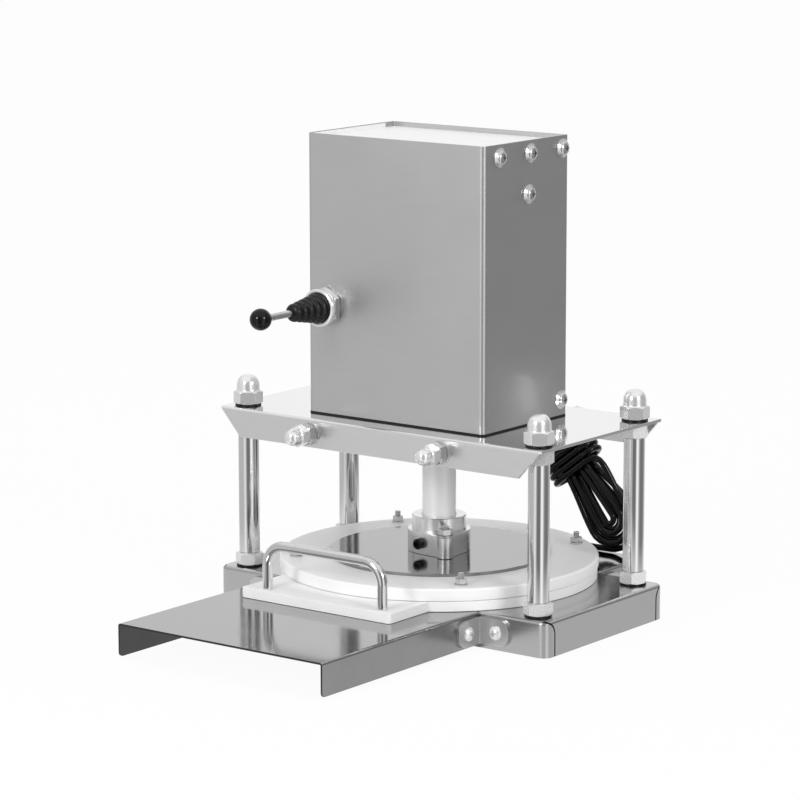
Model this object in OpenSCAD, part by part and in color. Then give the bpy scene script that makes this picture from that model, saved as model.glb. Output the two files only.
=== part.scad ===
// Pizza dough press, closed, with its sliding board pushed home.
// Millimetres, +Z up, +Y to the rear, the base standing on z = 0.

/* [Posts] */
// Distance between the left and right posts
post_span_x = 340; // [320:1:370]
// Distance between the front and rear posts
post_span_y = 156; // [140:1:180]
// Diameter of a polished post
post_d = 20; // [18:0.5:23]
// Diameter of the threaded post ends
post_thread_d = 16; // [12:0.5:17]
// Width across flats of the post nuts
post_nut_af = 24; // [23:0.5:30]
// Cap nut on each post, across its flats
cap_nut_af = 26; // [24:0.5:30]
// Height of a post nut
post_nut_h = 13; // [8:0.5:16]
// Height of the hexagon of a cap nut
cap_hex_h = 14; // [10:0.5:18]
// Diameter of a cap nut's dome
cap_dome_d = 22; // [19:0.5:24]
// Height of a cap nut's dome
cap_dome_h = 15.5; // [12:0.5:20]
// Length of thread that stands past a foot nut
thread_stub = 3; // [1:0.5:5]
// Free height between the base and the top plate
column_gap = 154.5; // [145:0.5:180]

/* [Base] */
// Distance from a post to the side edge of the base
base_edge_x = 22.5; // [18:0.5:35]
// Distance from a post to the front edge of the base
base_edge_y = 19; // [16:0.5:30]
// Height of the base pan
base_h = 33.5; // [30:0.5:45]
// Thickness of the base sheet
base_sheet = 2; // [1:0.1:3]
// Radius of the upright corners of the base
base_corner_r = 6; // [4:0.5:10]
// Distance from the end of a side to its folded seam
seam_inset = 13.5; // [9:0.5:16]
// Width of a folded seam
seam_gap = 0.8; // [0.4:0.1:1.5]

/* [Tray] */
// Width of the front tray and the rear shelf
tray_w = 235; // [200:1:260]
// Length of the tray in front of the base
tray_reach = 230; // [180:1:260]
// Length of the shelf behind the base
shelf_reach = 80; // [79:0.5:100]
// Height of the tray's side flanges
tray_flange_h = 31; // [29:0.5:33]
// Thickness of the tray sheet
tray_sheet = 2; // [1:0.1:3]
// Radius of the lower free corners of the side flanges
tray_corner_r = 4; // [2:0.5:20]

/* [Corner brackets] */
// Length of each leg of a bracket
bracket_leg = 35; // [30:0.5:40]
// Height of a bracket
bracket_h = 25; // [20:0.5:26]
// Thickness of a bracket
bracket_t = 3.5; // [2:0.1:5]
// Distance from the top of the base down to a bracket
bracket_drop = 4; // [3:0.5:5]
// Diameter of a bracket bolt
bolt_d = 6; // [5:0.5:8]
// Diameter of a bracket bolt's head
bolt_head_d = 13; // [11:0.5:16]
// Height of a bracket bolt's head
bolt_head_h = 4.5; // [3:0.1:6]
// Width across flats of a bracket nut
bolt_nut_af = 10; // [9:0.5:12]
// Height of a bracket nut
bolt_nut_h = 5; // [3:0.5:7]

/* [Top plate] */
// Distance from a post to the side edge of the top plate
plate_edge_x = 17; // [16:0.5:30]
// Distance from a post to the front edge of the top plate
plate_edge_y = 22; // [20:0.5:30]
// Thickness of the top plate
plate_t = 3; // [2:0.1:5]
// Depth of the front and rear flanges, with the plate
flange_h = 27.5; // [26:0.5:35]

/* [Tie rods] */
// Distance of a tie rod from the middle
tie_x = 76; // [68:0.5:90]
// Diameter of a tie rod
tie_d = 12; // [8:0.5:13]
// Width across flats of the tie nuts
tie_nut_af = 18; // [16:0.5:19]
// Height of a tie nut
tie_nut_h = 10; // [6:0.5:12]
// Diameter of a tie washer
tie_washer_d = 22; // [20:0.5:24]
// Thickness of a tie washer
tie_washer_t = 2; // [1:0.1:3]
// Diameter of the dome of a tie cap nut
tie_dome_d = 16; // [14:0.5:17]
// Height of the dome of a tie cap nut
tie_dome_h = 12; // [9:0.5:16]

/* [Housing] */
// Width of the housing
housing_w = 204; // [200:1:230]
// Depth of the housing
housing_d = 132; // [128:1:150]
// Height of the housing
housing_h = 264; // [250:1:300]
// How far the housing sits to the right of the ram
housing_shift_x = 3; // [0:0.5:4]
// How far the housing sits in front of the ram
housing_shift_y = 8; // [4:0.5:10]
// Thickness of the housing sheet
housing_sheet = 1.5; // [0.8:0.1:2]
// Radius of the two upright front bends
housing_bend_r = 4; // [3:0.5:8]
// Width of the foot flanges inside the housing
foot_flange = 14; // [8:0.5:16]
// Depth of the covers' side flanges
cover_flange = 14; // [12:0.5:14.5]
// How far the top cover lies below the rim
cover_drop = 6; // [3:0.5:8]
// Thickness of the black gasket under the housing
gasket_t = 1.5; // [0.5:0.1:3]
// Diameter of a housing screw's head
screw_head_d = 18; // [10:0.5:18.5]
// Height of a housing screw's head
screw_head_h = 6; // [3:0.1:7]
// Diameter of a housing screw
screw_d = 6; // [4:0.5:6.5]
// Length of a housing screw under its head
screw_l = 11; // [8:0.5:14]
// Distance from the rim down to the top row of screws
screw_drop = 12; // [11.5:0.5:15]

/* [Joystick] */
// Distance of the joystick from the left edge of the housing
lever_edge = 23; // [22:0.5:30]
// Height of the joystick above the foot of the housing
lever_up = 102; // [90:1:115]
// Width across flats of the bezel nut
bezel_af = 32.5; // [31:0.5:36]
// Length of the bezel nut
bezel_l = 15; // [12:0.5:20]
// Diameter of the joystick's barrel
barrel_d = 26; // [25:0.5:28]
// Diameter of the boot at the bezel
boot_base_d = 30; // [27:0.5:32]
// Diameter of the boot at its tip
boot_tip_d = 16; // [12:0.5:20]
// Length of the boot
boot_l = 38; // [30:0.5:44]
// Number of ribs round the boot
boot_ribs = 5; // [3:1:7]
// Diameter of the lever
lever_d = 5.5; // [4:0.1:6]
// Diameter of the ball knob
knob_d = 20.5; // [16:0.5:26]
// Distance from the housing to the middle of the ball knob
knob_reach = 98; // [90:0.5:120]

/* [Press head] */
// Diameter of the ram tube
ram_d = 32; // [28:0.5:34]
// Wall of the ram tube
ram_wall = 4; // [2.5:0.1:5]
// Diameter of the collar's lower ring
collar_lower_d = 60; // [56:0.5:70]
// Height of the collar's lower ring
collar_lower_h = 21; // [18:0.5:26]
// Diameter of the collar's upper ring
collar_upper_d = 52; // [46:0.5:56]
// Height of the collar's upper ring
collar_upper_h = 13.5; // [8:0.5:20]
// Diameter of the collar's clamping screw head
set_screw_d = 12; // [9:0.5:14]
// Diameter of the two bosses on the collar
boss_d = 15; // [11:0.5:16]
// Room between the collar's upper ring and the washer on a boss
boss_room = 5; // [0.5:0.5:8]
// Diameter of the studs in the bosses
boss_stud_d = 8; // [5:0.5:9]
// Diameter of the polished backing disc
backing_d = 210; // [160:1:240]
// Thickness of the backing disc
backing_t = 3; // [1.5:0.1:6]
// Diameter of the white press plate
press_d = 304; // [290:1:304]
// Thickness of the white press plate
press_t = 12; // [8:0.5:16]
// Distance of a press plate stud from the ram axis
stud_reach = 137; // [130:0.5:142]
// Diameter of a press plate stud
stud_d = 6; // [4:0.5:7]
// Width across flats of a stud nut
stud_nut_af = 10; // [9:0.5:12]
// Height of a stud nut
stud_nut_h = 5; // [3:0.5:8]
// Diameter of a stud washer
stud_washer_d = 12.5; // [12:0.5:16]
// Thickness of a stud washer
stud_washer_t = 1.5; // [0.5:0.1:3]
// How far the press head lifts
stroke = 58; // [30:1:60]

/* [Sliding board] */
// Diameter of the round part of the sliding board
board_d = 308; // [296:1:308]
// Thickness of the sliding board
board_t = 9.5; // [7:0.5:14]
// Width of the board's tongue
tongue_w = 174; // [160:1:200]
// Distance from the ram axis to the front of the tongue
tongue_reach = 185; // [178:1:210]
// Radius of the tongue's corners
tongue_r = 9; // [4:0.5:20]
// Distance between the legs of the handle
handle_span = 134; // [110:1:144]
// Diameter of the handle rod
handle_rod_d = 9.5; // [7:0.5:12]
// Height of the handle above the board
handle_h = 47.5; // [40:0.5:60]
// Bend radius of the handle at the middle of its rod
handle_bend_r = 20; // [12:0.5:24]
// Distance from the front of the tongue to the handle legs
handle_back = 9; // [7:0.5:14]

/* [Ram drive] */
// Length of the guide block along X
guide_w = 96; // [88:1:110]
// Depth of the guide block along Y
guide_d = 76; // [72:1:90]
// Height of the guide block
guide_h = 23; // [18:0.5:24]
// Outside diameter of the guide bush and the drive tube
drive_tube_d = 42; // [41:0.5:44]
// Wall of the drive tube
drive_tube_wall = 3; // [2:0.1:3.5]
// Height of the ram tube's upper end above the top plate
ram_rise = 59; // [50:0.5:62]
// Diameter of the lead screw
lead_screw_d = 14; // [13:0.5:16]
// Height of the gearbox floor above the top plate
gearbox_up = 151; // [148:0.5:160]
// Number of teeth on the lead screw's gear
gear_teeth = 54; // [50:1:56]
// Number of teeth on the motor pinion
pinion_teeth = 18; // [16:1:19]
// Face width of the gears
gear_face = 10; // [6:0.5:11]
// Length of the motor
motor_l = 106; // [90:1:120]

/* [Cord] */
// Diameter of the mains cord
cord_d = 6.2; // [6:0.1:6.3]

/* [Hidden] */
$fn = 64;

// Overrun of every cut
cut = 1;
// Clearance round a thread or a pressed shank
thread_gap = 0.1;
// Clearance round a running shaft
run_gap = 0.05;
// Clearance between sheets that slide past or fold inside each other
sheet_gap = 0.3;
// Clearance under the sliding board and above it
board_gap = 0.2;

// The ram axis, set back so that the part is centred on the origin
base_w = post_span_x + 2 * base_edge_x;
base_d = post_span_y + 2 * base_edge_y;
ram_y = (tray_reach - shelf_reach) / 2;

// Heights
plate_w = post_span_x + 2 * plate_edge_x;
plate_d = post_span_y + 2 * plate_edge_y;
plate_z = base_h + column_gap;
plate_top = plate_z + plate_t;
board_z = base_h + board_gap;
press_z = board_z + board_t + board_gap;
backing_z = press_z + press_t;
collar_z = backing_z + backing_t;
collar_top = collar_z + collar_lower_h + collar_upper_h;
tie_z = plate_top - flange_h / 2;

// Bosses on the collar, as far out as their washers need, and the webs that carry them
boss_washer_d = boss_d + 2 * stud_washer_t;
boss_reach = collar_upper_d / 2 + boss_room + boss_washer_d / 2;
web_ring_r = collar_lower_d / 2 - sheet_gap / 2;
web_boss_r = boss_d / 2 - sheet_gap / 2;
web_turn = acos((web_ring_r - web_boss_r) / boss_reach);
spot_reach = collar_lower_d / 2 - 2 * sheet_gap;
// Places of the press plate's studs round the ram axis
stud_angles = [-45, 52, 144, 225];

// Housing places, from the ram axis
housing_z = plate_top + gasket_t;
housing_top = housing_z + housing_h;
housing_left = housing_shift_x - housing_w / 2;
housing_right = housing_shift_x + housing_w / 2;
housing_front = -housing_shift_y - housing_d / 2;
housing_rear = -housing_shift_y + housing_d / 2;
inner_left = housing_left + housing_sheet + sheet_gap;
inner_right = housing_right - housing_sheet - sheet_gap;
inner_front = housing_front + housing_sheet + sheet_gap;
inner_rear = housing_rear - housing_sheet - sheet_gap;
cover_top = housing_top - cover_drop;
screw_row_z = housing_top - screw_drop;
// Depth of the bracket that carries the drive, and the height of its ends
drive_bracket_t = 3;
drive_bracket_end_h = 36;
drive_bracket_front_room = 26;
drive_bracket_rear_room = 4.5;
// Height of the lowest housing screws above the foot
screw_foot_rise = 15;
// Front edge of the rear cover's side flanges
rear_flange_y = housing_rear - housing_sheet - cover_flange;
drive_bracket_front = inner_front + drive_bracket_front_room;
drive_bracket_rear = rear_flange_y - drive_bracket_rear_room;
drive_bracket_d = drive_bracket_rear - drive_bracket_front;
drive_bracket_y = (drive_bracket_front + drive_bracket_rear) / 2;
// Screws in each side of the housing, as [y, z]
screw_front_y = housing_front + screw_head_d / 2 + 10 * housing_sheet;
screw_rear_y = (rear_flange_y + housing_rear - housing_sheet) / 2;
screw_mid_y = (screw_front_y + screw_rear_y) / 2 - housing_sheet;

// Drive places, from the ram axis
gearbox_z = plate_top + gearbox_up;
bearing_h = 10;
bearing_d = 32;
upper_bearing_d = 28;
upper_bearing_h = 8;
journal_d = 12;
gearbox_wall = 7;
gearbox_gap = 3;
gearbox_room = 4.2;
gear_lift = 5;
gear_hub_d = 30;
gear_space = min(inner_rear, -inner_front) - gearbox_room - gearbox_wall - gearbox_gap;
motor_room = 3;
motor_space = (inner_right - gearbox_room - gearbox_gap + drive_tube_d / 2 + motor_room) / 2;
gear_module = min(gear_space / (gear_teeth / 2 + 1), 2 * motor_space / (gear_teeth + pinion_teeth));
gear_r = gear_module * gear_teeth / 2;
pinion_r = gear_module * pinion_teeth / 2;
gear_reach = gear_r + pinion_r;
motor_d = 2 * (gear_reach - drive_tube_d / 2 - motor_room);
gear_z = gearbox_z + bearing_h + gear_lift;
gearbox_inner_h = gear_face + 2 * gear_lift;
gearbox_lid_z = gearbox_z + bearing_h + gearbox_inner_h;
gearbox_lid_t = upper_bearing_h;
gearbox_left = -(gear_r + gear_module + gearbox_gap + gearbox_wall);
gearbox_right = gear_reach + motor_d / 2 + gearbox_gap;
gearbox_half_d = gear_r + gear_module + gearbox_gap;
gear_backlash = 0.18;
gear_pressure_angle = 20;
gear_root_share = 1.25;
motor_shaft_d = 8;
motor_boss_d = 22;
motor_boss_h = 4;
ram_top = plate_top + ram_rise;
lead_nut_flange_h = 6;
lead_nut_l = 24;
lead_screw_z = ram_top - lead_nut_l - 2 * lead_nut_flange_h;
drive_flange_w = 76;
drive_flange_t = 6;
guide_screw_d = 8;
guide_screw_head_d = 13;
guide_screw_head_h = 8;
guide_screw_place = 28;
gearbox_screw_d = 5;
gearbox_screw_inset = 7;
bracket_z = gearbox_lid_z + gearbox_lid_t;
drive_screw_z = bracket_z + drive_bracket_t + 2 * drive_bracket_end_h / 3;

// Control board inside the housing
control_w = 40;
control_room = 27;
control_h = 14;
control_x = inner_left + foot_flange + 2 * sheet_gap;
control_y = inner_front + foot_flange + 4 * sheet_gap;
control_d = housing_rear - control_room - control_y;
relay_w = 16;
relay_h = 20;
relay_count = 3;

// Joystick places
lever_x = housing_left + lever_edge;
lever_z = housing_z + lever_up;
lever_pivot_y = housing_front - 6 * sheet_gap - knob_d / 5;
barrel_bore_d = 20;
barrel_l = bezel_l - 1.5 * housing_sheet;
switch_w = 34;
switch_l = 46;
switch_cavity_l = 14;
lever_tail = 15;
pivot_d = 3.5;
pivot_ball_d = 11;
boot_wall = 2;
boot_groove_share = 0.86;
knob_hole_share = 0.3;

// Corner bracket places
bracket_z0 = base_h - bracket_drop - bracket_h;
bracket_bolt_z = base_h - bracket_drop - bracket_h / 2;
bracket_bolt_share = 0.6;
bracket_end_share = 0.42;
bracket_end_r = bracket_h * bracket_end_share;

// Cord places, from the ram axis
gland_x = -20;
gland_rise = 22;
gland_nut_af = 22;
gland_nut_h = 6;
gland_thread_d = 12;
gland_tail_l = 28;
gland_tail_d = 14;
gland_tip_d = 9;
gland_lock_af = 18;
gland_lock_h = 5;
gland_z = housing_z + gland_rise;
cord_sides = 8;
loop_sides = 6;
loop_rings = 24;
// Hank: two layers of loops, leaning to the right behind the machine
hank_top = [-6.5, 170, 172.8];
hank_lean = 50;
hank_len = 174.5;
hank_in = 3;
hank_step = 10;
hank_out = 38;
hank_layer = 7;
hank_reverse = 19 / 8;
hank_end = 5 + 130 / 720;
hank_waist = 68;
hank_waist_half = 46;
hank_draw_share = 0.3;
// Turns of the cord round the waist of the hank
wrap_turns = 3;
wrap_top = 56;
wrap_pitch = 6.9;
wrap_half = 30.5;
wrap_r = 10.5;
wrap_mid = 1.6;
wrap_join_share = 0.45;
// Route of the cord from the gland to the hank
lead_route = [
    [-20, 92, 214.5], [-20, 104, 214.5], [-19.5, 120, 214], [-18, 137, 212.5],
    [-16, 154, 209], [-12, 170, 202], [-7, 183, 191], [-2, 191, 178],
    [2, 195, 163], [5, 196, 148], [7, 196, 133], [8, 193.5, 123], [9, 186, 115.5]
];
// Route of the cord along the rear shelf, from the hank to the plug
tail_route = [[57, 173, 37], [46, 172, 37.5], [35, 171, 39], [26, 170, 40.5]];
plug_x = 18;
plug_y = 169;
plug_w = 22;
plug_h = 14;
plug_l = 34;
plug_neck_l = 20;
plug_pin_d = 4;
plug_pin_l = 19;
plug_pin_span = 14;
plug_rest = 0.3;

// Shared shapes

module at_ram() translate([0, ram_y, 0]) children();

module at_posts() for (x = [-1, 1], y = [-1, 1])
    translate([x * post_span_x / 2, y * post_span_y / 2, 0]) children();

module rounded_rect(w, d, r) {
    square([w - 2 * r, d], center = true);
    square([w, d - 2 * r], center = true);
    for (x = [-1, 1], y = [-1, 1]) translate([x * (w / 2 - r), y * (d / 2 - r)]) circle(r);
}

module hexagon(af, h) cylinder(d = af / cos(30), h = h, $fn = 6);

module nut(af, h, bore) difference() {
    hexagon(af, h);
    translate([0, 0, -cut]) cylinder(d = bore + 2 * thread_gap, h = h + 2 * cut);
}

module washer(d, t, bore) difference() {
    cylinder(d = d, h = t);
    translate([0, 0, -cut]) cylinder(d = bore + 2 * thread_gap, h = t + 2 * cut);
}

module cap_nut(af, hex_h, dome_d, dome_h, bore) difference() {
    union() {
        hexagon(af, hex_h);
        cylinder(d = dome_d, h = hex_h + dome_h - dome_d / 2);
        translate([0, 0, hex_h + dome_h - dome_d / 2]) sphere(d = dome_d);
    }
    translate([0, 0, -cut]) cylinder(d = bore + 2 * thread_gap, h = hex_h + 2 * cut);
}

// A low domed head with its underside on z = 0
module dome_head(d, h) {
    r = (h * h + d * d / 4) / (2 * h);
    intersection() {
        translate([0, 0, h - r]) sphere(r);
        cylinder(d = d, h = h);
    }
}

// Points along a list, each step cut into equal parts
function along(p, n) = [
    for (i = [0 : len(p) - 2]) for (k = [0 : n - 1]) p[i] + (p[i + 1] - p[i]) * k / n,
    p[len(p) - 1]
];

function unit(v) = v / norm(v);

function course(p, i) = unit(p[min(i + 1, len(p) - 1)] - p[max(i - 1, 0)]);

function squared(v, t) = unit(v - (v * t) * t);

// A closed tube along a list of points, with a ring square to it at each one
module tube(p, d, sides) {
    n = len(p);
    first = course(p, 0);
    spokes = [for (
        i = 0, s = squared(abs(first.z) < 0.9 ? [0, 0, 1] : [1, 0, 0], first);
        i < n;
        i = i + 1, s = i < n ? squared(s, course(p, i)) : s
    ) s];
    rings = [for (i = [0 : n - 1]) for (k = [0 : sides - 1])
        let (a = 360 * k / sides)
        p[i] + d / 2 * (cos(a) * spokes[i] + sin(a) * cross(course(p, i), spokes[i]))];
    walls = [for (i = [0 : n - 2]) for (k = [0 : sides - 1])
        let (a = i * sides + k, b = i * sides + (k + 1) % sides)
        each [[a, a + sides, b], [b, a + sides, b + sides]]];
    caps = [for (k = [1 : sides - 2])
        each [[0, k, k + 1], [(n - 1) * sides, (n - 1) * sides + k + 1, (n - 1) * sides + k]]];
    polyhedron(rings, concat(walls, caps));
}

// Least gap of a tube to itself, measured on points along its middle
function self_gap(p, d, apart) = min([
    for (i = [0 : len(p) - 2]) for (j = [i + apart : 1 : len(p) - 1]) norm(p[i] - p[j])
]) - d;

// Base, tray and shelf

module bracket_holes(y) for (x = [-1, 1])
    translate([x * (tray_w / 2 + bracket_leg * bracket_bolt_share), y, bracket_bolt_z])
        rotate([90, 0, 0])
            cylinder(d = bolt_d + 2 * thread_gap, h = 2 * base_corner_r + 2 * cut, center = true);

module base_pan() color("silver") at_ram() difference() {
    linear_extrude(base_h) rounded_rect(base_w, base_d, base_corner_r);
    translate([0, 0, -cut]) linear_extrude(base_h - base_sheet + cut)
        rounded_rect(base_w - 2 * base_sheet, base_d - 2 * base_sheet, base_corner_r - base_sheet);
    at_posts() cylinder(d = post_thread_d + 2 * thread_gap, h = base_h + cut);
    for (y = [-1, 1]) bracket_holes(y * base_d / 2);
    for (x = [-1, 1], y = [0, 1]) mirror([0, y, 0])
        translate([x * base_w / 2, base_d / 2, base_h]) rotate([0, 90, 0])
            linear_extrude(2 * base_sheet + cut, center = true) seam();
}

// A seam that leaves the upper corner in a quarter round and runs down to the foot
module seam() {
    translate([seam_inset, -seam_inset - seam_gap / 2]) square([base_h - seam_inset + cut, seam_gap]);
    translate([seam_inset, 0]) intersection() {
        difference() {
            circle(seam_inset + seam_gap / 2);
            circle(seam_inset - seam_gap / 2);
        }
        translate([base_sheet - seam_inset, -2 * seam_inset])
            square([seam_inset - base_sheet, 2 * seam_inset - base_corner_r / 2]);
    }
}

// A channel of sheet with its side flanges down, reaching forwards from y = 0
module channel(reach) difference() {
    translate([-tray_w / 2, -reach, base_h - tray_flange_h]) cube([tray_w, reach, tray_flange_h]);
    translate([-tray_w / 2 + tray_sheet, -reach - cut, base_h - tray_flange_h - cut])
        cube([tray_w - 2 * tray_sheet, reach + 2 * cut, tray_flange_h - tray_sheet + cut]);
    translate([0, -reach + tray_corner_r, base_h - tray_flange_h + tray_corner_r])
        rotate([90, 0, 90]) linear_extrude(tray_w + 2 * cut, center = true) difference() {
            translate([-tray_corner_r - cut, -tray_corner_r - cut])
                square(tray_corner_r + cut);
            circle(tray_corner_r);
        }
    for (x = [-1, 1])
        translate([x * tray_w / 2, -bracket_leg * bracket_bolt_share, bracket_bolt_z])
            rotate([0, 90, 0])
                cylinder(d = bolt_d + 2 * thread_gap, h = 2 * tray_sheet + 2 * cut, center = true);
}

module tray() color("silver") at_ram() translate([0, -base_d / 2, 0]) channel(tray_reach);

module rear_shelf() color("silver") at_ram()
    translate([0, base_d / 2, 0]) rotate([0, 0, 180]) channel(shelf_reach);

module bracket_leg_plate() difference() {
    union() {
        cube([bracket_leg - bracket_end_r, bracket_t, bracket_h]);
        for (z = [bracket_end_r, bracket_h - bracket_end_r])
            translate([bracket_leg - bracket_end_r, bracket_t / 2, z])
                rotate([90, 0, 0]) cylinder(r = bracket_end_r, h = bracket_t, center = true);
        translate([bracket_leg - bracket_end_r, 0, bracket_end_r])
            cube([bracket_end_r, bracket_t, bracket_h - 2 * bracket_end_r]);
    }
    translate([bracket_leg * bracket_bolt_share, bracket_t / 2, bracket_h / 2])
        rotate([90, 0, 0]) cylinder(d = bolt_d + 2 * thread_gap, h = bracket_t + 2 * cut, center = true);
}

// One bracket, in the corner between the base and the tray's right flange
module corner_bracket() translate([0, 0, bracket_z0]) {
    translate([0, -bracket_t, 0]) bracket_leg_plate();
    rotate([0, 0, -90]) bracket_leg_plate();
}

module at_brackets() for (x = [0, 1], y = [0, 1]) mirror([x, 0, 0]) mirror([0, y, 0])
    translate([tray_w / 2, -base_d / 2, 0]) children();

module corner_brackets() color("gainsboro") at_ram() at_brackets() corner_bracket();

module bracket_bolt(sheet) {
    dome_head(bolt_head_d, bolt_head_h);
    translate([0, 0, -bracket_t - sheet - bolt_nut_h]) {
        cylinder(d = bolt_d, h = bracket_t + sheet + bolt_nut_h);
        nut(bolt_nut_af, bolt_nut_h, bolt_d - 2 * thread_gap);
    }
}

module bracket_bolts() color("silver") at_ram() at_brackets() {
    translate([bracket_leg * bracket_bolt_share, -bracket_t, bracket_bolt_z])
        rotate([90, 0, 0]) bracket_bolt(base_sheet);
    translate([bracket_t, -bracket_leg * bracket_bolt_share, bracket_bolt_z])
        rotate([0, 90, 0]) bracket_bolt(tray_sheet);
}

// Posts and their nuts

module post(x, y) color("gainsboro") at_ram()
    translate([x * post_span_x / 2, y * post_span_y / 2, 0]) {
        foot_z = base_h - base_sheet - post_nut_h - thread_stub;
        translate([0, 0, base_h + post_nut_h]) cylinder(d = post_d, h = column_gap - 2 * post_nut_h);
        translate([0, 0, foot_z]) cylinder(d = post_thread_d, h = plate_top + cap_hex_h - foot_z);
    }

module post_front_left() post(-1, -1);
module post_front_right() post(1, -1);
module post_rear_left() post(-1, 1);
module post_rear_right() post(1, 1);

module post_foot_nuts() color("silver") at_ram() at_posts()
    translate([0, 0, base_h - base_sheet - post_nut_h]) nut(post_nut_af, post_nut_h, post_thread_d);

module post_base_nuts() color("silver") at_ram() at_posts()
    translate([0, 0, base_h]) nut(post_nut_af, post_nut_h, post_thread_d);

module post_upper_nuts() color("silver") at_ram() at_posts()
    translate([0, 0, plate_z - post_nut_h]) nut(post_nut_af, post_nut_h, post_thread_d);

module post_cap_nuts() color("white") at_ram() at_posts()
    translate([0, 0, plate_top]) cap_nut(cap_nut_af, cap_hex_h, cap_dome_d, cap_dome_h, post_thread_d);

// Top plate and tie rods

module plate_flange() rotate([90, 0, 0]) linear_extrude(plate_t) polygon([
    [-plate_w / 2, plate_z], [plate_w / 2, plate_z],
    [plate_w / 2 - flange_h + plate_t, plate_top - flange_h],
    [-plate_w / 2 + flange_h - plate_t, plate_top - flange_h]
]);

module top_plate() color("silver") at_ram() difference() {
    union() {
        translate([-plate_w / 2, -plate_d / 2, plate_z]) cube([plate_w, plate_d, plate_t]);
        translate([0, -plate_d / 2 + plate_t, 0]) plate_flange();
        translate([0, plate_d / 2, 0]) plate_flange();
    }
    at_posts() translate([0, 0, plate_z - cut])
        cylinder(d = post_thread_d + 2 * thread_gap, h = plate_t + 2 * cut);
    translate([0, 0, plate_z - cut])
        cylinder(d = drive_tube_d + 2 * thread_gap, h = plate_t + 2 * cut);
    at_guide_screws() translate([0, 0, plate_z - cut])
        cylinder(d = guide_screw_d + 2 * thread_gap, h = plate_t + 2 * cut);
    for (x = [-1, 1]) translate([x * tie_x, 0, tie_z]) rotate([90, 0, 0])
        cylinder(d = tie_d + 2 * thread_gap, h = plate_d + 2 * cut, center = true);
}

module tie_rods() color("silver") at_ram() for (x = [-1, 1]) translate([x * tie_x, 0, tie_z])
    rotate([90, 0, 0])
        cylinder(d = tie_d, h = plate_d + 2 * tie_washer_t + 4 * tie_nut_h, center = true);

module at_tie_ends() for (x = [-1, 1], turn = [0, 180]) rotate([0, 0, turn])
    translate([x * tie_x, -plate_d / 2, tie_z]) rotate([90, 0, 0]) children();

module tie_nuts() color("silver") at_ram() at_tie_ends() {
    washer(tie_washer_d, tie_washer_t, tie_d);
    translate([0, 0, tie_washer_t]) nut(tie_nut_af, tie_nut_h, tie_d);
}

module tie_cap_nuts() color("white") at_ram() at_tie_ends()
    translate([0, 0, tie_washer_t + tie_nut_h])
        cap_nut(tie_nut_af, tie_nut_h, tie_dome_d, tie_dome_h, tie_d);

// Ram guide under the top plate

module at_guide_screws() for (x = [-1, 1], y = [-1, 1])
    translate([x * guide_screw_place, y * guide_screw_place, 0]) children();

module guide_block() color("dimgray") at_ram() difference() {
    translate([-guide_w / 2, -guide_d / 2, plate_z - guide_h]) cube([guide_w, guide_d, guide_h]);
    translate([0, 0, plate_z - guide_h - cut])
        cylinder(d = drive_tube_d + 2 * thread_gap, h = guide_h + 2 * cut);
    at_guide_screws() translate([0, 0, plate_z - guide_h / 2])
        cylinder(d = guide_screw_d + 2 * thread_gap, h = guide_h / 2 + cut);
}

module guide_bush() color("peru") at_ram() translate([0, 0, plate_z - guide_h])
    washer(drive_tube_d, guide_h + plate_t, ram_d + 2 * run_gap - 2 * thread_gap);

module guide_screws() color("dimgray") at_ram() at_guide_screws()
    translate([0, 0, plate_top + drive_flange_t]) {
        cylinder(d = guide_screw_head_d, h = guide_screw_head_h);
        translate([0, 0, -drive_flange_t - plate_t - guide_h / 2])
            cylinder(d = guide_screw_d, h = drive_flange_t + plate_t + guide_h / 2);
    }

// Housing

module housing_outline(inset) translate([housing_shift_x, -housing_shift_y]) {
    r = max(housing_bend_r - inset, housing_sheet / 2);
    w = housing_w - 2 * inset;
    d = housing_d - inset;
    translate([-w / 2, -housing_d / 2 + inset + r]) square([w, d - r]);
    translate([-w / 2 + r, -housing_d / 2 + inset]) square([w - 2 * r, d]);
    for (x = [-1, 1]) translate([x * (w / 2 - r), -housing_d / 2 + inset + r]) circle(r);
}

// Places of the screws in the two sides; side is -1 on the left and 1 on the right
module at_housing_screws(side) {
    face = side < 0 ? housing_left : housing_right;
    for (p = [
        [screw_front_y, screw_row_z], [screw_mid_y, screw_row_z], [screw_rear_y, screw_row_z],
        [drive_bracket_y, drive_screw_z], [screw_rear_y, housing_z + screw_foot_rise]
    ]) translate([face, p.x, p.y]) rotate([0, side * 90, 0]) children();
}

module housing_screw_holes() for (side = [-1, 1]) at_housing_screws(side)
    cylinder(
        d = screw_d + 2 * thread_gap,
        h = 6 * housing_sheet + 6 * sheet_gap + drive_bracket_t,
        center = true
    );

module housing() color("darkgray") at_ram() difference() {
    translate([0, 0, housing_z]) linear_extrude(housing_h) housing_outline(0);
    translate([0, 0, housing_z + housing_sheet]) linear_extrude(housing_h) intersection() {
        housing_outline(housing_sheet);
        translate([housing_left, housing_front - cut])
            square([housing_w, housing_d + cut]);
    }
    translate([0, 0, housing_z - cut]) linear_extrude(housing_sheet + 2 * cut)
        translate([housing_left + foot_flange, housing_front + foot_flange])
            square([housing_w - 2 * foot_flange, housing_d]);
    translate([housing_left + housing_sheet, housing_rear - housing_sheet - sheet_gap, housing_z - cut])
        cube([housing_w - 2 * housing_sheet, housing_sheet + cut, housing_h + 2 * cut]);
    translate([lever_x, housing_front, lever_z]) rotate([90, 0, 0])
        cylinder(d = barrel_d + 2 * thread_gap, h = 2 * housing_sheet + 2 * cut, center = true);
    housing_screw_holes();
}

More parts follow.
